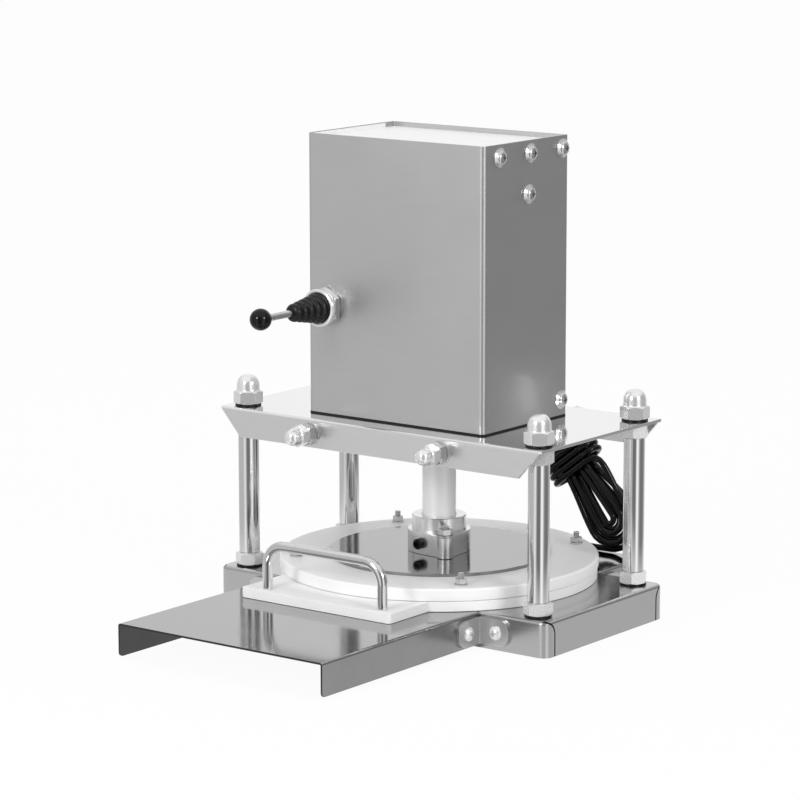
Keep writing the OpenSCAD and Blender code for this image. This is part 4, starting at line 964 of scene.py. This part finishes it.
def makePlate():
    low, high, mid, size = span("top_plate")
    plate = sheet("topPlate", size.xy, (mid.x, mid.y, high.z))
    drop = size.z
    narrow = (size.x - 2 * drop + 2 * plateSet["sheet"]) / size.x
    for y in (low.y, high.y):
        choose(plate, "EDGE", lambda a, b: abs(a.y - y) < hair and abs(b.y - y) < hair)
        push(0, 0, -drop)
        bpy.ops.transform.resize(value=(narrow, 1, 1), center_override=(mid.x, y, high.z - drop))
        setMode("OBJECT")
    faceOut(plate)
    fold(plate, lambda a, b: min(a.z, b.z) > high.z - hair and abs(a.x - b.x) > 0.1, plateSet["bend"], 5)
    if plate.data.polygons[0].normal.z < -0.5 or max(f.normal.z for f in plate.data.polygons) < 0.5:
        enter(plate)
        bpy.ops.mesh.flip_normals()
        setMode("OBJECT")
    thicken(plate, plateSet["sheet"])
    softenEdges(plate, plateSet["edge"], 2, 50)
    dress(plate, "frame", ["top_plate"], "mirrorTop")


makePlate()


# Tie rods with washers, nuts and cap nuts
tieSet = {
    "pitch": 0.00175, "flats": 0.018, "nut": 0.010, "nutTurn": 12, "dome": 0.008, "domeHeight": 0.012,
    "washerRadius": 0.011, "washer": 0.002,
}


def threaded(name, radius, length, pitch, sides=28):
    # ridges of one thread, repeated along the rod
    root = radius - 0.6 * pitch
    count = max(2, round(length / pitch))
    step = length / count
    profile = [(root, 0), (radius, 0.42 * step), (radius, 0.58 * step), (root, step)]
    rod = rings(name, profile, sides, "NOTHING")
    ridges = rod.modifiers.new("ridges", "ARRAY")
    ridges.count = count
    ridges.use_relative_offset = False
    ridges.use_constant_offset = True
    ridges.constant_offset_displace = (0, 0, step)
    ridges.use_merge_vertices = True
    ridges.merge_threshold = 0.00001
    applyAll(rod)
    for z in (0, length):
        choose(rod, "EDGE", lambda a, b: abs(a.z - z) < 0.00002 and abs(b.z - z) < 0.00002)
        bpy.ops.mesh.edge_face_add()
        setMode("OBJECT")
    return faceOut(rod)


def makeTies():
    low, high, mid, size = span("tie_rods")
    xs = [low.x + size.z / 2, high.x - size.z / 2]
    rod = threaded("tieRods", size.z / 2, size.y, tieSet["pitch"])
    rods = setOut("tieRods", rod, [((x, high.y, mid.z), (90, 0, 0)) for x in xs])
    dress(rods, "frame", ["tie_rods"], "nutSteel")
    plateLow, plateHigh = span("top_plate")[:2]
    ends = [((x, y, mid.z), (turn, 0, 0)) for y, turn in ((plateLow.y, 90), (plateHigh.y, -90)) for x in xs]
    w, t = tieSet["washerRadius"], tieSet["washer"]
    washer = turned("tieWasher", [(w - 0.0004, 0), (w, 0.0004), (w, t - 0.0005), (w - 0.0005, t)], 56)
    nut = lay(hexBar("tieNut", tieSet["flats"], tieSet["nut"]), (0, 0, t), (0, 0, tieSet["nutTurn"]))
    nuts = setOut("tieNuts", together("tieNut", [washer, nut]), ends)
    dress(nuts, "frame", ["tie_nuts"], "boltSteel", 25)
    cap = capNut("tieCaps", tieSet["flats"], tieSet["nut"], tieSet["dome"], tieSet["domeHeight"])
    caps = setOut("tieCaps", lay(cap, (0, 0, t + tieSet["nut"])), ends)
    dress(caps, "frame", ["tie_cap_nuts"], "capSteel", 30)


makeTies()
print("top plate made")


# Housing: a wrap of sheet with a rear cover, a sunk top cover and a gasket below
housingSet = {
    "sheet": 0.0015, "bend": 0.0048, "coverBend": 0.002, "edge": 0.0003, "lidLift": 0.0015,
    "lidCorner": 0.003, "lap": 0.036, "lapInset": 0.003,
}


def makeShell(name, node, rear, bend, steps):
    # three upright sides, open to the rear or to the front
    low, high, mid, size = span(node)
    shell = block(name, low, high)
    dropFaces(shell, lambda c, n: abs(n.z) > square or rear * n.y > square)
    fold(shell, lambda a, b: abs(a.z - b.z) > 0.1 and rear * (mid.y - a.y) > 0, bend, steps)
    thicken(shell, housingSet["sheet"])
    softenEdges(shell, housingSet["edge"], 2, 60)
    dress(shell, "frame", [node], "satinSheet")


def makeLid():
    low, high, mid, size = span("top_cover")
    high = high + Vector((0, 0, housingSet["lidLift"]))
    lid = block("topCover", low, high)
    dropFaces(lid, lambda c, n: n.z < -square or abs(n.y) > square)
    fold(lid, lambda a, b: min(a.z, b.z) > high.z - 0.001 and abs(a.y - b.y) > 0.05, housingSet["coverBend"])
    roundCorners(lid, lambda p: p.y < low.y + 0.001 and p.z > high.z - hair, housingSet["lidCorner"], 4)
    thicken(lid, housingSet["sheet"])
    lip = block("lidLip", (low.x, low.y + 0.004, high.z - 0.003),
                (low.x + 0.001, high.y - 0.002, span("housing")[1].z - 0.0006))
    inset = housingSet["lapInset"]
    lap = block("lidLap", (low.x + inset, low.y + inset, high.z - 0.0004),
                (high.x - inset, low.y + housingSet["lap"], high.z + 0.0006))
    softenEdges(lap, 0.0002, 1, 50)
    lid = together("topCover", [lid, lip, lap])
    # the pale, mostly diffuse finish is a painted reflection of the white surroundings on the sunk cover
    dress(lid, "frame", ["top_cover"], "paleSheet")


def makeGasket():
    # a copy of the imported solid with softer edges
    gasket = twin(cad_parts["housing_gasket"])
    gasket.name = "footGasket"
    gasket.parent = None
    for key in list(gasket.keys()):
        del gasket[key]
    faceOut(gasket)
    softenEdges(gasket, housingSet["edge"], 2, 50)
    dress(gasket, "frame", ["housing_gasket"], "blackRubber")


screwSet = {
    "flange": 0.009, "rim": 0.0010, "dome": 0.0066, "height": 0.006, "slot": (0.0062, 0.0017, 0.0028, 0.008),
    "apart": 0.0185, "fewest": 8,
}


def screwRows(right):
    # middles of the heads on the right side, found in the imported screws
    found = []
    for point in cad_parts["housing_screws"].data.vertices:
        if point.co.x < right + hair:
            continue
        for row in found:
            if max(abs(row[0].y - point.co.y), abs(row[0].z - point.co.z)) < screwSet["apart"]:
                row.append(point.co)
                break
        else:
            found.append([point.co])
    rows = [row for row in found if len(row) > screwSet["fewest"]]
    return [[(min(p[k] for p in row) + max(p[k] for p in row)) / 2 for k in (1, 2)] for row in rows]


def makeHousingScrews():
    f, d, rim = screwSet["flange"], screwSet["dome"], screwSet["rim"]
    base = rim + 0.0018
    profile = [(f - 0.0003, 0), (f, 0.0004), (f, rim), (f - 0.0008, rim + 0.0006), (d + 0.0006, rim + 0.0012),
               (d, base)]
    screw = turned("sideScrews", profile + domed(d, base, screwSet["height"] - base, 8), 48)
    combine(screw, crossCut("screwSlot", *screwSet["slot"]), "DIFFERENCE")
    left, right = span("housing")[0].x, span("housing")[1].x
    rows = screwRows(right)
    spots = [((x, y, z), (0, turn, 0)) for x, turn in ((right, 90), (left, -90)) for y, z in rows]
    screws = setOut("sideScrews", screw, spots)
    dress(screws, "frame", ["housing_screws"], "boltSteel", 30)


makeShell("housingWrap", "housing", 1, housingSet["bend"], 6)
makeShell("rearCover", "rear_cover", -1, housingSet["coverBend"], 4)
makeLid()
makeGasket()
makeHousingScrews()
print("housing made")


# Joystick: bezel, boot, lever and ball
stickSet = {
    "bezelFlats": 0.0325, "nutShare": 0.62, "nutEdge": 0.0004, "nutCorner": 0.48, "ringShare": 0.6,
    "ringRadius": 0.0182, "ringBore": 0.0145, "ribs": 5, "ribSteps": 8, "bootRoot": 0.0143, "bootTip": 0.0078,
    "bootWall": 0.0020, "grooveShare": 0.76, "sleeve": 0.0050, "rod": 0.0034, "play": 0.0002, "seat": 0.0052,
}
toFront = (90, 0, 0)


def makeBezel():
    low, high, mid, size = span("joystick_bezel")
    place = (mid.x, high.y, mid.z)
    nut = hexBar("stickNut", stickSet["bezelFlats"], size.y * stickSet["nutShare"], stickSet["nutEdge"],
                 stickSet["nutCorner"])
    back, front = size.y * stickSet["ringShare"], size.y
    r, bore = stickSet["ringRadius"], stickSet["ringBore"]
    ring = turnedRing("stickRing", [
        (r - 0.0022, back), (r - 0.0006, back + 0.0008), (r, back + 0.0022), (r, front - 0.0018),
        (r - 0.0006, front - 0.0006), (r - 0.0018, front), (bore + 0.0010, front), (bore, front - 0.0010),
        (bore, back),
    ], 72)
    dress(lay(nut, place, toFront), "frame", ["joystick_bezel"], "boltSteel", 30)
    dress(lay(ring, place, toFront), "frame", [], "capSteel", 30)


def makeBoot():
    low, high, mid, size = span("lever_boot")
    root, tip, length = stickSet["bootRoot"], stickSet["bootTip"], size.y
    ribs, steps = stickSet["ribs"], stickSet["ribSteps"]
    profile = [(root, 0)]
    for k in range(ribs):
        radius = root + (tip - root) * (k + 0.35) / ribs
        groove = (root + (tip - root) * (k + 1) / ribs) * stickSet["grooveShare"]
        for i in range(1, steps + 1):
            rise = math.sin(math.pi * i / steps) ** 0.6
            profile.append((groove + (radius - groove) * rise, length * (k + i / steps) / ribs))
    sleeve, bore = stickSet["sleeve"], stickSet["rod"] + stickSet["play"]
    profile += [(sleeve, length), (sleeve - 0.0006, length), (bore, length), (bore, length * 0.9),
                (root - stickSet["bootWall"], 0)]
    boot = lay(turnedRing("stickBoot", profile, 56), (mid.x, high.y, mid.z), toFront)
    dress(boot, None, ["lever_boot"], "blackRubber", 50)
    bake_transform(boot)


def makeLever():
    low, high, mid, size = span("lever_rod")
    r = stickSet["rod"]
    rod = turned("stickRod", [
        (r, 0), (r, 0.0098), (0.0042, 0.0108), (0.0052, 0.0130), (0.0055, 0.0150), (0.0052, 0.0170),
        (0.0042, 0.0192), (r, 0.0202), (r, size.y * 0.55), (r, size.y - 0.010), (r, size.y - 0.0002),
    ], 40)
    lay(rod, (mid.x, high.y, mid.z), toFront)
    dress(rod, "lever", ["lever_rod"], "rodSteel")

    low, high, mid, size = span("ball_knob")
    r = size.x / 2
    foot = -math.sqrt(r * r - stickSet["seat"] ** 2)
    profile = [(0.0040, -r + 0.0006), (0.0046, -r + 0.0004), (0.0050, foot)]
    ball = turned("ballKnob", profile + domed(r, 0, r, 18, math.asin(foot / r)), 56)
    lay(ball, (mid.x, low.y + r, mid.z), toFront)
    dress(ball, "lever", ["ball_knob"], "blackGloss", 60)


makeBezel()
makeBoot()
makeLever()
print("joystick made")


# Press head: ram, clamp ring, disc and plate
headSet = {
    "ramEdge": 0.0005, "discEdge": 0.0004, "plateRound": 0.002, "plateFoot": 0.0015, "lower": 0.021,
    "lowerRadius": 0.030, "upperRadius": 0.026, "edge": 0.0007, "bossRadius": 0.0075, "webRadius": 0.0045,
    "sink": 0.004, "fit": 0.0001, "lead": 0.0012, "bossWasher": 0.009, "bossTurn": 20,
    "spot": 0.0054, "spotReach": 0.0294, "spotDepth": 0.02, "screwHead": 0.006, "socket": 0.0030,
    "studReach": 0.137, "studTurns": (-45, 52, 144, 225), "studTurn": 15,
}
washerThick = 0.0015
bossStudSet = {
    "name": "bossStuds", "node": "collar_studs", "flats": 0.0128, "height": 0.006, "radius": 0.004,
    "pitch": 0.00125, "sunk": 0.004, "sides": 24,
    "washer": rounded(headSet["bossWasher"], 0, washerThick, 0.0002),
}
plateStudSet = {
    "name": "plateStuds", "node": "plate_studs", "flats": 0.010, "height": 0.005, "radius": 0.003,
    "pitch": 0.001, "sunk": 0.002, "sides": 20,
    "washer": [(0.006, 0), (0.00625, 0.0002), (0.00625, 0.0013), (0.006, washerThick)],
}


def bossPlaces():
    low, high, mid, size = span("collar_studs")
    reach = size.x / 2 - headSet["bossWasher"]
    return [Vector((mid.x + reach, mid.y - reach, 0)), Vector((mid.x - reach, mid.y + reach, 0))]


def makeRound(name, node, edge, sides, finish):
    low, high, mid, size = span(node)
    piece = turned(name, rounded(size.x / 2, low.z, high.z, edge), sides)
    dress(lay(piece, (mid.x, mid.y, 0)), "ram", [node], finish)


def makeClamp():
    low, high, mid, size = span("press_collar")
    step, c, past = low.z + headSet["lower"], headSet["edge"], headSet["fit"]
    wide, upper, b, web = [headSet[key] for key in ("lowerRadius", "upperRadius", "bossRadius", "webRadius")]
    solids = [lay(turned("ringCore", [(wide, low.z), (wide, step)], 96), (mid.x, mid.y, 0))]
    for k, spot in enumerate(bossPlaces()):
        solids.append(lay(turned("web" + str(k), [(web, low.z), (web, step)], 48), spot))
    ring = together("clampRing", solids)
    enter(ring)
    bpy.ops.mesh.convex_hull()
    bpy.ops.mesh.select_all(action="SELECT")
    bpy.ops.mesh.dissolve_limited(angle_limit=math.radians(0.5))
    setMode("OBJECT")
    softenEdges(ring, c, 2, 60)
    profile = [(b - c, low.z + past), (b, low.z + c), (b, step - c), (b - c, step + past)]
    for spot in bossPlaces():
        combine(ring, lay(turned("boss", profile, 48), spot), "UNION")
    bore, lead = span("ram_tube")[3].x / 2, headSet["lead"]
    neck = turned("ringNeck", [
        (upper, step - headSet["sink"]), (upper, high.z - c), (upper - c, high.z), (bore + lead, high.z),
        (bore + past, high.z - lead), (bore + past, high.z - 0.003),
    ], 96)
    combine(ring, lay(neck, (mid.x, mid.y, 0)), "UNION")
    screwLow, screwHigh, screwMid, screwSize = span("collar_screw")
    hole = turned("clampHole", [(headSet["spot"], 0), (headSet["spot"], headSet["spotDepth"])], 40)
    combine(ring, lay(hole, (screwMid.x, ramY - headSet["spotReach"], screwMid.z), toFront), "DIFFERENCE")
    dress(ring, "ram", ["press_collar"], "turnedAlloy")

    s, h = min(screwSize.x / 2, headSet["spot"] - 0.0003), headSet["screwHead"]
    screw = turned("clampScrew", [
        (s * 0.66, -h), (s * 0.66, 0), (s - 0.0004, 0), (s, 0.0004), (s, h - 0.0008), (s - 0.0007, h),
    ], 48)
    combine(screw, hexagon("clampSocket", headSet["socket"], h, h), "DIFFERENCE")
    lay(screw, (screwMid.x, screwLow.y + h, screwMid.z), toFront)
    dress(screw, "ram", ["collar_screw"], "blackSteel")
    return step


def makeStuds(spots, base, name, node, flats, height, radius, pitch, sunk, sides, washer):
    # washer, nut and threaded end at each spot
    ring = turned(name + "Washer", washer, 2 * sides)
    nut = lay(hexBar(name + "Nut", flats, height, 0.0002), (0, 0, washerThick))
    length = span(node)[1].z - base + sunk
    end = lay(threaded(name + "End", radius, length, pitch, sides), (0, 0, -sunk))
    studs = setOut(name, together(name + "End", [ring, nut, end]), spots)
    dress(studs, "ram", [node], "boltSteel", 25)


def makePress():
    low, high, mid, size = span("press_plate")
    r, bend, foot = size.x / 2, headSet["plateRound"], headSet["plateFoot"]
    profile = [(r - foot, low.z), (r - 0.0004, low.z + 0.0004), (r, low.z + foot), (r, high.z - bend)]
    for i in range(1, 6):
        a = math.radians(18 * i)
        profile.append((r - bend + bend * math.cos(a), high.z - bend + bend * math.sin(a)))
    plate = lay(turned("pressPlate", profile, 192), (mid.x, mid.y, 0))
    dress(plate, "ram", ["press_plate"], "whiteBoard")
    return high.z


def studSpots(top):
    spots = []
    for turn in headSet["studTurns"]:
        way, reach = math.radians(turn), headSet["studReach"]
        place = fromRam(reach * math.cos(way), reach * math.sin(way), top)
        spots.append((place, (0, 0, turn + headSet["studTurn"])))
    return spots


makeRound("ramTube", "ram_tube", headSet["ramEdge"], 80, "ramAlloy")
ringStep = makeClamp()
bossSpots = [((p.x, p.y, ringStep), (0, 0, headSet["bossTurn"])) for p in bossPlaces()]
makeStuds(bossSpots, ringStep, **bossStudSet)
makeRound("backingDisc", "backing_disc", headSet["discEdge"], 160, "discSheet")
plateTop = makePress()
makeStuds(studSpots(plateTop), plateTop, **plateStudSet)
print("press head made")


# Sliding board and its handle
boardSet = {
    "tongue": 0.174, "shift": -0.005, "corner": 0.004, "rim": 0.003, "edge": 0.0005, "rod": 0.00475,
    "bend": 0.020, "legs": 0.134, "back": 0.009, "sunk": 0.004,
}


def makeBoard():
    low, high, mid, size = span("sliding_board")
    r, e, shift = size.x / 2 - boardSet["rim"], boardSet["edge"], boardSet["shift"]
    middle = high.y - size.x / 2
    board = lay(turned("slidingBoard", rounded(r, low.z, high.z, e), 192), (mid.x, middle, 0))
    half = boardSet["tongue"] / 2
    tongue = block("tongue", (shift - half, low.y, low.z), (shift + half, middle, high.z))
    fold(tongue, lambda a, b: abs(a.z - b.z) > 0.005 and max(a.y, b.y) < low.y + 0.001, boardSet["corner"], 8)
    softenEdges(tongue, e, 2, 60)
    combine(board, tongue, "UNION")
    dress(board, "board", ["sliding_board"], "whiteBoard", 40)
    return low.y + boardSet["back"], high.z - boardSet["sunk"]


def makeHandle(y, foot):
    rod, bend, leg = boardSet["rod"], boardSet["bend"], boardSet["legs"] / 2
    shoulder = span("board_handle")[1].z - rod - bend
    quarter = {"steps": 12, "angle": -math.pi / 2, "axis": (0, 1, 0)}
    bar = disc("boardHandle", rod, 32, (-leg, y, foot))
    enter(bar, "FACE")
    push(0, 0, shoulder - foot)
    bpy.ops.mesh.spin(center=(-leg + bend, y, shoulder), **quarter)
    push(2 * leg - 2 * bend, 0, 0)
    bpy.ops.mesh.spin(center=(leg - bend, y, shoulder), **quarter)
    push(0, 0, foot - shoulder)
    setMode("OBJECT")
    faceOut(bar)
    dress(bar, "board", ["board_handle"], "brightSteel", 60)


makeHandle(*makeBoard())
print("board made")


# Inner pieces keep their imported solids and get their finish
keptNodes = {
    "plainSteel": ["guide_block", "guide_screws", "lever_pin", "drive_tube", "gearbox_screws",
                   "drive_bracket", "motor_pinion", "screw_gear", "lead_screw", "screw_bearings",
                   "handle_screws"],
    "turnedAlloy": ["gearbox_case", "gearbox_lid"],
    "bronze": ["guide_bush", "lead_nut"],
    "blackMould": ["joystick_body"],
    "motorPaint": ["motor"],
    "circuitGreen": ["control_board"],
}
for finishName, names in keptNodes.items():
    for name in names:
        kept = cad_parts[name]
        kept.data.materials.clear()
        kept.data.materials.append(finishes[finishName])
print("inner pieces finished")


# Stage: white floor and world, soft lamps
stageSet = {
    "floor": 24.0, "floorZ": -0.0006, "floorTone": 0.85, "floorRough": 0.9, "white": 0.95, "ambient": 0.70,
    "sky": 0.90, "skyFrom": 0.40, "skyTo": 0.75,
    # under: the level of the painted shadow on the floor under the machine, seen in polished metal
    "near": 0.34, "far": 0.52, "nearShare": 0.45, "nearLevel": 0.60, "under": 0.30, "aim": 0.18,
    "tones": [   # what polished metal mirrors: degrees round from the camera, brightness
        (-180, 1.00), (-150, 0.72), (-128, 0.60), (-66, 0.60), (-53, 0.72), (-46, 1.00), (-37, 1.00),
        (-28, 0.58), (-17, 0.22), (6, 0.18), (15, 0.36), (25, 1.15), (38, 1.20), (47, 0.72), (58, 0.34),
        (72, 0.22), (98, 0.22), (110, 0.32), (122, 0.46), (134, 0.62), (152, 0.82), (180, 1.00),
    ],
}


def studioLevel(tree, direction):
    parts = addNode(tree, "SeparateXYZ", {0: direction}).outputs
    turn = sums(tree, "SUBTRACT", sums(tree, "ARCTAN2", parts[1], parts[0]), cameraWay)
    wrapped = sums(tree, "WRAP", turn, math.pi, -math.pi)
    ramp = addNode(tree, "ValToRGB", {0: spread(tree, wrapped, -math.pi, math.pi)})
    tones = stageSet["tones"]
    top = max(level for angle, level in tones)
    marks = ramp.color_ramp.elements
    marks.remove(marks[1])
    for k, (angle, level) in enumerate(tones):
        mark = marks.new((angle + 180) / 360) if k else marks[0]
        mark.color = (level / top, level / top, level / top, 1)
    around = sums(tree, "MULTIPLY", ramp.outputs[0], top)
    height = spread(tree, parts[2], stageSet["skyFrom"], stageSet["skyTo"])
    return mixLevel(tree, height, around, stageSet["sky"])


studioTone = makeGroup("studioTone", {"Direction": "Vector"}, studioLevel)


def makeFloor():
    floor = sheet("studioFloor", (stageSet["floor"], stageSet["floor"]), (0, 0, stageSet["floorZ"]))
    material, tree, place = startMaterial("studioFloor")
    shader = tree.nodes["Principled BSDF"]
    plainLook = {"Base Color": colour(stageSet["floorTone"]), "Roughness": stageSet["floorRough"]}
    setInputs(tree, shader, {**plainLook, "Specular IOR Level": 0.0})
    paths = addNode(tree, "LightPath").outputs
    white = addNode(tree, "Emission", {"Color": (1, 1, 1, 1), "Strength": 1.0}).outputs[0]
    share = sums(tree, "MULTIPLY", paths["Is Camera Ray"], stageSet["white"])
    plain = addNode(tree, "MixShader", {0: share, 1: shader.outputs[0], 2: white}).outputs[0]
    # what polished metal mirrors, evened out near the machine, with a painted shadow under it
    back = addNode(tree, "NewGeometry").outputs["Incoming"]
    ray = addNode(tree, "VectorMath", {0: back, "Scale": -1.0}, operation="SCALE").outputs[0]
    tone = useGroup(tree, studioTone, ray)
    reach = addNode(tree, "VectorMath", {0: place, 1: (0, ramY, 0)}, operation="DISTANCE").outputs["Value"]
    close = sums(tree, "MULTIPLY_ADD", tone, stageSet["nearShare"], stageSet["nearLevel"])
    level = mixLevel(tree, spread(tree, reach, stageSet["near"], stageSet["far"]), close, tone)
    trayLow, trayHigh = span("tray")[:2]
    rearY = span("rear_shelf")[1].y
    spot = addNode(tree, "SeparateXYZ", {0: place}).outputs
    across = sums(tree, "COMPARE", spot[0], 0.0, trayHigh.x)
    along = sums(tree, "COMPARE", spot[1], (trayLow.y + rearY) / 2, (rearY - trayLow.y) / 2)
    shade = between(tree, sums(tree, "MULTIPLY", across, along), 1.0, stageSet["under"])
    mirrored = addNode(tree, "Emission", {"Strength": sums(tree, "MULTIPLY", level, shade)}).outputs[0]
    mix = addNode(tree, "MixShader", {0: paths["Is Glossy Ray"], 1: plain, 2: mirrored}).outputs[0]
    setInputs(tree, tree.nodes["Material Output"], {"Surface": mix})
    floor.data.materials.append(material)


def makeWorld():
    world = bpy.data.worlds.new("studio")
    world.use_nodes = True
    bpy.context.scene.world = world
    tree = world.node_tree
    paths = addNode(tree, "LightPath").outputs
    tone = useGroup(tree, studioTone, addNode(tree, "TexCoord").outputs["Generated"])
    soft = mixLevel(tree, paths["Is Glossy Ray"], stageSet["ambient"], tone)
    level = mixLevel(tree, paths["Is Camera Ray"], soft, 1.0)
    setInputs(tree, tree.nodes["Background"], {"Strength": level, "Color": (1, 1, 1, 1)})


lampSet = [
    # name, degrees round from the camera, degrees up, distance, size, watts, seen in polished metal
    ("leftLamp", -40, 24, 2.3, 0.50, 13.5, True),
    ("rightLamp", 40, 24, 2.3, 0.50, 12.0, True),
    ("fillLamp", -30, 8, 2.2, 1.40, 5.0, False),
    ("topLamp", -120, 76, 2.4, 1.50, 5.0, False),
]


def makeLamps():
    aim = fromRam(0, 0, stageSet["aim"])
    for name, turn, rise, reach, size, power, seen in lampSet:
        data = bpy.data.lights.new(name, "AREA")
        data.shape = "SQUARE"
        data.size = size
        data.energy = power
        lamp = bpy.data.objects.new(name, data)
        way, up = cameraWay + math.radians(turn), math.radians(rise)
        toLamp = Vector((math.cos(way) * math.cos(up), math.sin(way) * math.cos(up), math.sin(up)))
        lamp.location = aim + reach * toLamp
        lamp.rotation_euler = (aim - lamp.location).to_track_quat("-Z", "Y").to_euler()
        lamp.visible_glossy = seen
        bpy.context.scene.collection.objects.link(lamp)


makeFloor()
makeWorld()
makeLamps()
bpy.context.scene.view_settings.view_transform = "Standard"
clear()
print("stage set")
